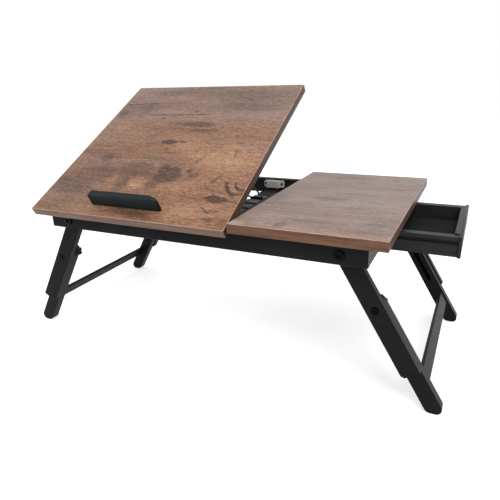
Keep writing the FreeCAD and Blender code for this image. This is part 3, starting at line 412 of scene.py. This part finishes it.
def make_lamps():
    for name, at, aim, width, power in LAMPS:
        data = bpy.data.lights.new(name, "AREA")
        data.shape = "DISK"
        data.size = width
        data.energy = power
        lamp = bpy.data.objects.new(name, data)
        lamp.location = at
        lamp.rotation_euler = (Vector(aim) - Vector(at)).to_track_quat("-Z", "Y").to_euler()
        bpy.context.scene.collection.objects.link(lamp)


def make_world():
    """Plain white light, brighter for the rays that look at it."""
    world = bpy.data.worlds.new("studio")
    bpy.context.scene.world = world
    tree = Tree(world, "OutputWorld")
    light = tree.new("Background")
    light.inputs[0].default_value = WHITE
    level = tree.remap(tree.seen(), 0.0, 1.0, WORLD_LIGHTING, WORLD_SEEN, smooth=False)
    tree.link(level, light.inputs[1])
    tree.finish(light)


def floor_material():
    """Pale floor: plain to every ray, lifted towards white only where it is looked at."""
    tree = material_tree("pale_floor")
    dark, pale = FLOOR_GREYS
    cloud = tree.noise(tree.coords(), (3, 3, 3), 2)
    colour = tree.ramp(cloud, [(0.0, (dark, dark, dark)), (1.0, (pale, pale, pale))])
    diffuse = tree.new("BsdfDiffuse")
    tree.link(colour, diffuse.inputs[0])
    light = tree.new("Emission")
    light.inputs[0].default_value = WHITE
    tree.link(tree.math("MULTIPLY", tree.seen(), FLOOR_GLOW), light.inputs[1])
    both = tree.new("AddShader")
    tree.link(diffuse.outputs[0], both.inputs[0])
    tree.link(light.outputs[0], both.inputs[1])
    return tree.finish(both)


def make_floor():
    mesh = bpy.data.meshes.new("floor")
    corners = ((-1, -1), (1, -1), (1, 1), (-1, 1))
    mesh.from_pydata(
        [(x * FLOOR_HALF, y * FLOOR_HALF, -FLOOR_DEPTH) for x, y in corners],
        [], [(0, 1, 2, 3)],
    )
    mesh.materials.append(floor_material())
    floor = bpy.data.objects.new("floor", mesh)
    bpy.context.scene.collection.objects.link(floor)


# ------------------------------------------------------------------ materials


def marks(tree, at, entries):
    """The strongest of a set of soft ellipses lying along the grain."""
    total = None
    for across, up, half_across, half_up, strength, soft in entries:
        offset = tree.vector("SUBTRACT", at, (across * MM, up * MM, 0))
        unit = tree.vector("MULTIPLY", offset, (1 / (half_across * MM), 1 / (half_up * MM), 0))
        far = tree.vector("LENGTH", unit)
        one = tree.remap(far, MARK_END, MARK_END - soft, 0.0, strength)
        total = one if total is None else tree.math("MAXIMUM", total, one)
    return total


def strokes(tree, at, entries):
    """The strongest of a set of soft straight strokes."""
    total = None
    for from_x, from_y, to_x, to_y, half, strength, soft in entries:
        line = Vector((to_x - from_x, to_y - from_y, 0)) * MM
        offset = tree.vector("SUBTRACT", at, (from_x * MM, from_y * MM, 0))
        share = tree.vector("DOT_PRODUCT", offset, tuple(line / line.length_squared))
        held = tree.new("Clamp")
        tree.link(share, held.inputs[0])
        foot = tree.scaled(tuple(line), held.outputs[0])
        far = tree.vector("LENGTH", tree.vector("SUBTRACT", offset, foot))
        one = tree.remap(far, half * MM * (1 + soft), half * MM * (1 - soft), 0.0, strength)
        total = one if total is None else tree.math("MAXIMUM", total, one)
    return total


def feathered(tree, raw):
    """Flat coordinates shaken so that the edges of marks run out along the grain."""
    wave = tree.noise(raw, (14, 40, 14), 3, 0.6, seed=3.1)
    comb = tree.noise(raw, (30, 420, 420), 4, 0.7, seed=8.4)
    crumb = tree.noise(raw, (190, 320, 320), 4, 0.7, seed=6.2)
    wave, comb, crumb = (tree.math("SUBTRACT", one, 0.5) for one in (wave, comb, crumb))
    shift = tree.new("CombineXYZ")
    along = tree.math("MULTIPLY", comb, COMB_ALONG)
    along = tree.math("MULTIPLY_ADD", crumb, CRUMB_ALONG, along)
    across = tree.math("MULTIPLY", wave, WAVE_ACROSS)
    across = tree.math("MULTIPLY_ADD", crumb, CRUMB_ACROSS, across)
    tree.link(along, shift.inputs[0])
    tree.link(across, shift.inputs[1])
    shaken = tree.vector("ADD", raw, shift.outputs[0])
    return tree.vector("MULTIPLY", shaken, (1, 1, 0))


def wood_tone(tree, layers, look, glow, shade):
    """The wood's tone about 0.5: layers of grain by their shares, and broad patches."""
    tone = 0.5 - sum(look["grain"].values()) / 2
    for name, share in look["grain"].items():
        tone = tree.math("MULTIPLY_ADD", layers[name], share, tone)
    tone = tree.math("MULTIPLY_ADD", glow, TONE_GLOW, tone)
    return tree.math("MULTIPLY_ADD", shade, TONE_SHADE, tone)


def mauve_by_print_and_sheen(tree, raw, boards, look, glow, shade):
    """The mauve share of the wood, which grows towards one end of the board: partly the print,
    partly painted sheen.
    """
    mauve_share = tree.remap(tree.part_y(raw), *look["grey_from_to"])
    drift = tree.math("MULTIPLY", tree.math("SUBTRACT", boards, 0.5), MAUVE_BOARDS)
    mauve_share = tree.math("ADD", mauve_share, drift)
    hue = tree.math("SUBTRACT", tree.noise(raw, (26, 60, 60), 3, 0.6, seed=14.6), 0.5)
    mauve_share = tree.math("MULTIPLY_ADD", hue, MAUVE_HUE, mauve_share)
    mauve_share = tree.math("MULTIPLY_ADD", glow, MAUVE_GLOW, mauve_share)
    return tree.math("MULTIPLY_ADD", shade, MAUVE_SHADE, mauve_share, clamp=True)


def edge_band(tree, raw, colour, outward, front, end, rim):
    """Edge colours by facing: ends darker than the front (painted shade), arris paler (painted
    highlight).
    """
    face = tree.facing(outward)
    tone = tree.noise(raw, (14, 14, 330), 5, 0.65, seed=6.6)
    tone = tree.math("MULTIPLY_ADD", tree.noise(raw, (70, 70, 600), 4, 0.6), 0.5, tone)
    shade = tree.remap(tone, 0.55, 0.95, 0.62, 1.30, smooth=False)
    # Painted shade: faces turned along X, the ends, take the darker end colour.
    ends = tree.math("ABSOLUTE", tree.facing((1, 0, 0)))
    band = tree.mix(ends, srgb(*front), srgb(*end))
    grey = tree.new("CombineColor")
    for socket in grey.inputs:
        tree.link(shade, socket)
    band = tree.mix(1.0, band, grey.outputs[0], "MULTIPLY")
    # Painted highlight on the arris: the rim colour, patchy by noise, where the face turns a
    # little off the top.
    painted_sheen = tree.noise(raw, (60, 60, 60), 3, 0.6, seed=9.1)
    lit = tree.mix(tree.remap(painted_sheen, 0.3, 0.7, 0.0, 0.5), srgb(*rim), band)
    colour = tree.mix(tree.remap(face, 0.90, 0.97), lit, colour)
    return tree.mix(tree.remap(face, 0.30, 0.60), band, colour)


def laminate(name, look, turn=None, move=None):
    """Printed rustic wood with its grain along X, and edge bands of plainer grain."""
    tree = material_tree(name)
    raw = tree.coords(turn, move)
    at = feathered(tree, raw)
    still, shaken = 1 - STROKE_SHAKE, STROKE_SHAKE
    calm = tree.vector("ADD", tree.vector("MULTIPLY", raw, (still, still, 0)),
                       tree.vector("MULTIPLY", at, (shaken, shaken, 0)))
    layers = {
        layer: tree.noise(raw, scale, detail, rough, seed=seed)
        for layer, (scale, detail, rough, seed) in GRAIN.items()
    }
    threads, streaks, boards = layers["threads"], layers["streaks"], layers["boards"]
    glow = marks(tree, at, look["glows"])
    shade = marks(tree, at, look["shades"])
    # Orange and mauve wood; the mauve that grows along the board is partly painted sheen.
    tone = wood_tone(tree, layers, look, glow, shade)
    warm = tree.ramp(tone, [(stop, srgb(*one)) for stop, one in look["warm"]])
    grey = tree.ramp(tone, [(stop, srgb(*one)) for stop, one in look["grey"]])
    mauve_share = mauve_by_print_and_sheen(tree, raw, boards, look, glow, shade)
    colour = tree.mix(mauve_share, warm, grey)
    # Knots and stains, lines and cracks, and pores; the threads show through them.
    ink = tree.mix(mauve_share, srgb(*look["ink_warm"]), srgb(*look["ink_grey"]))
    stain = tree.math("MULTIPLY", marks(tree, at, look["marks"]),
                      tree.remap(threads, 0.34, 0.62, 1.20, 0.80))
    colour = tree.mix(stain, colour, ink)
    crack = tree.math("MULTIPLY", strokes(tree, calm, look["lines"]),
                      tree.remap(threads, 0.36, 0.60, 1.15, 0.70))
    colour = tree.mix(crack, colour, srgb(*look["ink_line"]))
    pores = tree.noise(raw, (240, 620, 620), 2, 0.6, seed=2.9)
    pores = tree.remap(pores, 0.60, 0.68, 0.0, look["pores"])
    colour = tree.mix(pores, colour, ink)
    colour = edge_band(tree, raw, colour, look["outward"], *look["band"])
    # Threads and streaks stand up, and cracks are sunk.
    height = tree.math("MULTIPLY_ADD", streaks, 0.6, threads)
    height = tree.math("MULTIPLY_ADD", crack, -0.6, height)
    rough = tree.math("MULTIPLY_ADD", streaks, 0.16, 0.36)
    normal = tree.bump(height, 0.25, 0.0002, radius=0.0006)
    return tree.surface(colour, rough, normal, Specular_IOR_Level=0.25)


def lacquer(name, low, middle, high, rough=0.28, gloss=0.08, painted_sheen=None):
    """Satin lacquer over board, with a faint cast of grain and fine dust in it.

    A board can carry painted sheen: a paler colour on its top faces, up to a line across it.
    """
    tree = material_tree(name)
    at = tree.coords()
    cloud = tree.noise(at, (11, 11, 11), 3, 0.55)
    grain = tree.noise(at, (30, 140, 240), 5, 0.65, seed=2.2)
    dust = tree.noise(at, (900, 900, 900), 2, 0.5, seed=4.4)
    tone = tree.math("MULTIPLY_ADD", grain, 0.5, tree.math("MULTIPLY", cloud, 0.5))
    colour = tree.ramp(tone, [(0.3, srgb(*low)), (0.55, srgb(*middle)), (0.8, srgb(*high))])
    colour = tree.mix(tree.remap(dust, 0.66, 0.8, 0.0, 0.2), colour, srgb(*high))
    # Painted sheen on the top faces up to the line; behind it the dark base stands for shade.
    if painted_sheen is not None:
        pale, line = painted_sheen
        fade = line + SHEEN_FADE_MM * MM
        part = tree.math("MULTIPLY", tree.remap(tree.facing((0, 0, 1)), 0.3, 0.8),
                         tree.remap(tree.part_y(at), line, fade, 1.0, 0.0))
        sheen_colour = tree.mix(tone, srgb(*[SHEEN_DARK * one for one in pale]), srgb(*pale))
        colour = tree.mix(part, colour, sheen_colour)
    rough = tree.math("MULTIPLY_ADD", cloud, 0.12, rough)
    height = tree.math("MULTIPLY_ADD", dust, 0.35, grain)
    normal = tree.bump(height, 0.18, 0.0002, radius=0.0009)
    return tree.surface(colour, rough, normal, Specular_IOR_Level=gloss)


def plastic(name, low, high, rough, gloss):
    """Moulded plastic with a fine spark-eroded skin."""
    tree = material_tree(name)
    at = tree.coords()
    cloud = tree.noise(at, (60, 60, 60))
    pits = tree.noise(at, (1800, 1800, 1800), 2, seed=1.1)
    colour = tree.ramp(cloud, [(0.3, srgb(*low)), (0.7, srgb(*high))])
    normal = tree.bump(pits, 0.25, 0.0001, radius=0.0005)
    rough = tree.math("MULTIPLY_ADD", cloud, 0.12, rough)
    return tree.surface(colour, rough, normal, Specular_IOR_Level=gloss)


def metal(name, low, high, rough):
    """Plated or blackened steel with faint drawing lines."""
    tree = material_tree(name)
    at = tree.coords()
    brush = tree.noise(at, (40, 900, 40), 3, 0.6)
    cloud = tree.noise(at, (120, 120, 120), 2, seed=3.3)
    tone = tree.math("MULTIPLY_ADD", brush, 0.6, tree.math("MULTIPLY", cloud, 0.4))
    colour = tree.ramp(tone, [(0.3, srgb(*low)), (0.7, srgb(*high))])
    normal = tree.bump(brush, 0.15, 0.00005, radius=0.0003)
    rough = tree.math("MULTIPLY_ADD", brush, 0.15, rough)
    return tree.surface(colour, rough, normal, Metallic=1.0)


# ------------------------------------------------------------------ pieces


def new_piece(name, bm, material, body):
    """A mesh piece that rides on a body, shaded smooth but for its sharper edges."""
    bmesh.ops.recalc_face_normals(bm, faces=bm.faces)
    for face in bm.faces:
        face.smooth = True
    for edge in bm.edges:
        edge.smooth = len(edge.link_faces) != 2 or edge.calc_face_angle() < SMOOTH_BELOW
    mesh = bpy.data.meshes.new(name)
    bm.to_mesh(mesh)
    bm.free()
    mesh.materials.append(material)
    piece = bpy.data.objects.new(name, mesh)
    bpy.context.scene.collection.objects.link(piece)
    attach(piece, body)
    return piece


def on_board():
    """From the tilting top's own axes to the frame's."""
    return Matrix.Translation(HINGE) @ Euler((TILT, 0, 0)).to_matrix().to_4x4()


def local_box(node):
    """Lowest and highest corners of a node in the tilting top's own axes."""
    back = on_board().inverted()
    points = [back @ v.co for v in NODES[node].data.vertices]
    return (
        Vector([min(p[i] for p in points) for i in range(3)]),
        Vector([max(p[i] for p in points) for i in range(3)]),
    )


def rounded_outline(low, high, radii):
    """Points and outward directions round a rectangle, front left corner first."""
    outline = []
    corners = ((low.x, low.y), (high.x, low.y), (high.x, high.y), (low.x, high.y))
    for number, ((x, y), (wide, deep)) in enumerate(zip(corners, radii)):
        centre = Vector((
            x + (wide if x == low.x else -wide), y + (deep if y == low.y else -deep),
        ))
        for step in range(CORNER_STEPS + 1):
            angle = math.radians(180 + 90 * number + 90 * step / CORNER_STEPS)
            cosine, sine = math.cos(angle), math.sin(angle)
            way = Vector((cosine * deep, sine * wide)).normalized()
            outline.append((centre + Vector((cosine * wide, sine * deep)), way))
    return outline


def skin(bm, rings):
    """Walls between rings of equal length; returns each ring's vertices."""
    loops = [[bm.verts.new(point) for point in ring] for ring in rings]
    for lower, upper in zip(loops, loops[1:]):
        for index in range(len(lower)):
            after = (index + 1) % len(lower)
            bm.faces.new((lower[index], lower[after], upper[after], upper[index]))
    return loops


def loft(bm, rings):
    """A skin between rings, closed at both ends."""
    loops = skin(bm, rings)
    bm.faces.new(loops[0])
    bm.faces.new(loops[-1])


def make_laptop_stop(material):
    """The ledge: square at one end, swept round at the other, its top edges eased."""
    low, high = local_box("laptop_stop")
    outline = rounded_outline(low, high, [(a * MM, b * MM) for a, b in STOP_CORNERS])
    front_ease, back_ease, swept_ease = STOP_EASE
    place = on_board()
    rings = [[place @ Vector((*point, low.z)) for point, _ in outline]]
    for step in range(EASE_STEPS + 1):
        angle = math.radians(90 * step / EASE_STEPS)
        ring = []
        for point, way in outline:
            back, right = max(0.0, way.y), max(0.0, way.x)
            ease = front_ease + (back_ease - front_ease) * back
            ease = MM * (ease + swept_ease * 2 * back * right)
            inner = point - way * ease * (1 - math.cos(angle))
            ring.append(place @ Vector((*inner, high.z - ease * (1 - math.sin(angle)))))
        rings.append(ring)
    bm = bmesh.new()
    loft(bm, rings)
    piece = new_piece("stop_ledge", bm, material, "tilt_lid")
    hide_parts("laptop_stop")


def make_drawer_joints(material):
    """The drawer's front rebated at its ends, and its sides run on into the rebates."""
    low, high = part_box("drawer_front")
    step = low[0] + REBATE_MM * MM
    near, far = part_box("drawer_side_front")[1][1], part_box("drawer_side_rear")[0][1]
    plan = [
        (step, low[1]), (high[0], low[1]), (high[0], high[1]), (step, high[1]),
        (step, far), (low[0], far), (low[0], near), (step, near),
    ]
    bm = bmesh.new()
    loft(bm, [[(x, y, z) for x, y in plan] for z in (low[2], high[2])])
    bmesh.ops.recalc_face_normals(bm, faces=bm.faces)
    outer = [
        edge for edge in bm.edges
        if edge.calc_face_angle_signed() > SQUARE_ABOVE
        and all(vert.co.x > step - ON_PLANE for vert in edge.verts)
    ]
    bmesh.ops.bevel(bm, geom=outer, offset=FACE_EASE_MM * MM, segments=FACE_EASE_STEPS,
                    profile=0.5, affect="EDGES", clamp_overlap=True)
    piece = new_piece("drawer_face", bm, material, "drawer")
    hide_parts("drawer_front")
    for node in ("drawer_side_front", "drawer_side_rear"):
        bm = bmesh.new()
        bm.from_mesh(NODES[node].data)
        bmesh.ops.remove_doubles(bm, verts=bm.verts, dist=SAME_PLACE)
        end = max(vert.co.x for vert in bm.verts)
        for vert in bm.verts:
            if vert.co.x > end - ON_PLANE:
                vert.co.x = step - REBATE_GAP_MM * MM
        piece = new_piece(node.replace("side", "cheek"), bm, material, "drawer")
        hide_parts(node)


def screw_head(bm, place, size_mm):
    """A round head with a cross recess, its axis along the place's Z."""
    radius, height = (one * MM for one in size_mm)
    turns = [math.tau * number / HEAD_SIDES for number in range(HEAD_SIDES)]
    walls = skin(bm, [
        [
            place @ Vector((
                radius * reach * math.cos(turn), radius * reach * math.sin(turn),
                height * rise,
            )) for turn in turns
        ] for reach, rise in HEAD_OUTLINE
    ])
    bm.faces.new(reversed(walls[0]))
    half, arm = CROSS_HALF * radius, CROSS_ARM * radius
    quarter = ((arm, -half), (arm, half), (half, half))
    cross = [
        (x * cosine - y * sine, x * sine + y * cosine)
        for cosine, sine in ((1, 0), (0, 1), (-1, 0), (0, -1)) for x, y in quarter
    ]
    mouth, floor = skin(bm, [
        [place @ Vector((x * taper, y * taper, height * rise)) for x, y in cross]
        for taper, rise in ((1, 1), (CROSS_TAPER, CROSS_FLOOR))
    ])
    rim = [
        bm.edges.get(ends) for loop in (walls[-1], mouth)
        for ends in zip(loop, loop[1:] + loop[:1])
    ]
    bmesh.ops.triangle_fill(bm, edges=rim, use_beauty=True)
    bm.faces.new(reversed(floor))


def make_screws(steel, catch_left, catch_right):
    """Cross-headed screws in the hinge leaves, prop clips, strike plate and catch."""
    place = on_board()
    over = Matrix.Rotation(math.pi, 4, "X")
    lid, frame_set = bmesh.new(), bmesh.new()
    clips = local_box("prop_clips")
    for x in CLIP_SCREWS_X:
        for y in (clips[0].y + CLIP_IN * MM, clips[1].y - CLIP_IN * MM):
            spot = Matrix.Translation((x * MM, y, clips[1].z - CLIP_SUNK * MM))
            screw_head(lid, place @ spot @ over, CLIP_HEAD)
    strike = local_box("strike_plate")
    for x in STRIKE_SCREWS_X:
        spot = Matrix.Translation((x * MM, (strike[0].y + strike[1].y) / 2, strike[0].z))
        screw_head(lid, place @ spot @ over, STRIKE_HEAD)
    leaves = local_box("hinge_moving_leaves")
    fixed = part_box("hinge_fixed_leaves")
    for centre in HINGES_X:
        for x in (centre - LEAF_SPACING, centre, centre + LEAF_SPACING):
            spot = Matrix.Translation((
                x * MM, leaves[1].y - MOVING_IN * MM, leaves[1].z - LEAF_THICK * MM,
            ))
            screw_head(lid, place @ spot @ over, MOVING_HEAD)
            spot = (x * MM, fixed[1][1] - FIXED_IN * MM, fixed[0][2] + LEAF_THICK * MM)
            screw_head(frame_set, Matrix.Translation(spot), FIXED_HEAD)
    new_piece("lid_screws", lid, steel, "tilt_lid")
    new_piece("leaf_screws", frame_set, steel, "frame")
    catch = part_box("magnetic_catch")
    middle = (catch[0][2] + catch[1][2]) / 2
    outward = Matrix.Rotation(math.pi / 2, 4, "X")
    for name, side, material in (
        ("catch_screw_left", -1, catch_left), ("catch_screw_right", 1, catch_right),
    ):
        bm = bmesh.new()
        spot = (side * CATCH_SCREW_X * MM, catch[1][1] - CATCH_SUNK * MM, middle)
        screw_head(bm, Matrix.Translation(spot) @ outward, CATCH_HEAD)
        new_piece(name, bm, material, "frame")


# ------------------------------------------------------------------ build


def hinge_to_origin():
    """The move that brings the hinge line to the origin once the tilt is undone."""
    return tuple(-(Euler((-TILT, 0, 0)).to_matrix() @ HINGE))


make_camera()
make_floor()
make_world()
make_lamps()

# Each top's printed wood: shares of the grain's layers, orange and mauve by tone, inks
# of the marks, where along Y (m) the mauve grows and its least and most (partly print,
# partly painted sheen), the tables of marks, the pores' strength, the way the top faces,
# and its edges' colours: the front, the ends (darker as painted shade) and the painted
# highlight on the arris.
TILT_LOOK = {
    "grain": {
        "threads": 0.85, "streaks": 0.34, "boards": 0.42, "patches": 0.26, "mottle": 0.62,
    },
    "warm": [
        (0.20, (90, 59, 42)), (0.36, (122, 86, 64)), (0.50, (149, 109, 84)),
        (0.64, (172, 131, 102)), (0.82, (200, 158, 123)),
    ],
    "grey": [
        (0.20, (88, 69, 60)), (0.36, (114, 91, 80)), (0.50, (135, 110, 98)),
        (0.64, (151, 125, 112)), (0.82, (170, 143, 129)),
    ],
    "ink_warm": (62, 44, 36), "ink_grey": (70, 58, 53), "ink_line": (56, 40, 35),
    "grey_from_to": (0.12, 0.32, 0.0, 1.0),
    "marks": TILT_MARKS, "lines": TILT_LINES, "glows": TILT_GLOWS, "shades": TILT_SHADES,
    "pores": 0.50, "outward": (0, -math.sin(TILT), math.cos(TILT)),
    "band": ((124, 95, 82), (82, 58, 47), (200, 166, 144)),
}
SIDE_LOOK = {
    "grain": {
        "threads": 0.85, "streaks": 0.40, "boards": 0.34, "patches": 0.30, "mottle": 0.62,
    },
    "warm": [
        (0.20, (98, 70, 54)), (0.36, (126, 98, 84)), (0.50, (146, 119, 106)),
        (0.64, (160, 134, 121)), (0.82, (178, 152, 139)),
    ],
    "grey": [
        (0.20, (98, 83, 78)), (0.36, (122, 105, 99)), (0.50, (140, 122, 114)),
        (0.64, (153, 134, 126)), (0.82, (170, 151, 142)),
    ],
    "ink_warm": (84, 66, 60), "ink_grey": (88, 80, 82), "ink_line": (80, 62, 56),
    "grey_from_to": (-0.20, 0.20, 0.30, 1.0),
    "marks": SIDE_MARKS, "lines": SIDE_LINES, "glows": SIDE_GLOWS, "shades": SIDE_SHADES,
    "pores": 0.35, "outward": (0, 0, 1),
    "band": ((112, 78, 61), (100, 75, 66), (200, 170, 150)),
}
TOP_TILT = laminate("laminate_tilting_top", TILT_LOOK, (-TILT, 0, 0), hinge_to_origin())
TOP_SIDE = laminate("laminate_side_top", SIDE_LOOK)
BLACK = lacquer("black_lacquer", (23, 23, 24), (32, 32, 33), (43, 43, 44), gloss=0.05)
# The drawer's lacquer and its bottom's are paler copies of the black lacquer: painted light that
# lifts the drawer's shaded inside.
DRAWER = lacquer("drawer_lacquer", (34, 34, 35), (46, 46, 47), (58, 58, 59))
MATT = lacquer("drawer_bottom_lifted_matt", (26, 26, 26), (35, 35, 35), (48, 48, 48), 0.8, 0.05)
# The rack's light is painted: its top is paler up to a line behind its last notch (painted
# sheen), and past that line its dark base is painted shade from the lid.
RACK = lacquer(
    "rack_lacquer", (9, 10, 11), (14, 16, 17), (22, 25, 26), 0.34, 0.06,
    painted_sheen=((94, 102, 107), RACK_SHEEN_TO_MM * MM),
)
STOP = lacquer("stop_rubber", (20, 26, 28), (27, 34, 36), (38, 46, 48), 0.46, 0.12)
KNOB = plastic("knob_plastic", (8, 8, 8), (14, 14, 14), 0.38, 0.2)
CATCH = plastic("catch_plastic", (181, 180, 174), (201, 200, 194), 0.45, 0.4)
BLACK_STEEL = metal("black_steel", (9, 9, 10), (21, 21, 22), 0.32)
STEEL = metal("zinc_steel", (150, 152, 156), (200, 202, 205), 0.28)
BRASS = metal("yellow_zinc", (74, 64, 44), (116, 102, 70), 0.34)
DARK_STEEL = metal("dark_steel", (60, 62, 66), (92, 94, 98), 0.34)

# The parts in each material; all other parts are in the black lacquer.
PARTS_IN = (
    (TOP_TILT, ["tilt_top"]),
    (TOP_SIDE, ["side_top"]),
    (KNOB, [node for node in NODES if node.startswith("knob")]),
    (RACK, ["rack_batten"]),
    (STOP, ["laptop_stop"]),
    (CATCH, ["magnetic_catch"]),
    (BLACK_STEEL, [
        "leg_pivot_bolts", "clamp_bolts_left", "clamp_bolts_right", "tilt_prop",
    ]),
    (STEEL, [
        "hinge_fixed_leaves", "hinge_moving_leaves", "hinge_pins", "leg_pivot_washers",
        "leg_pivot_nuts", "strike_plate", "catch_magnet", "clamp_washers_left",
        "clamp_washers_right",
    ]),
    (DARK_STEEL, ["prop_clips"]),
    (MATT, ["drawer_bottom"]),
    (DRAWER, ["drawer_back"]),
)
MATERIAL_OF = {node: material for material, nodes in PARTS_IN for node in nodes}
for node, part in NODES.items():
    part.data.materials.clear()
    part.data.materials.append(MATERIAL_OF.get(node, BLACK))

make_laptop_stop(STOP)
make_drawer_joints(DRAWER)
make_screws(STEEL, BLACK_STEEL, BRASS)

bpy.context.scene.view_settings.view_transform = "Standard"
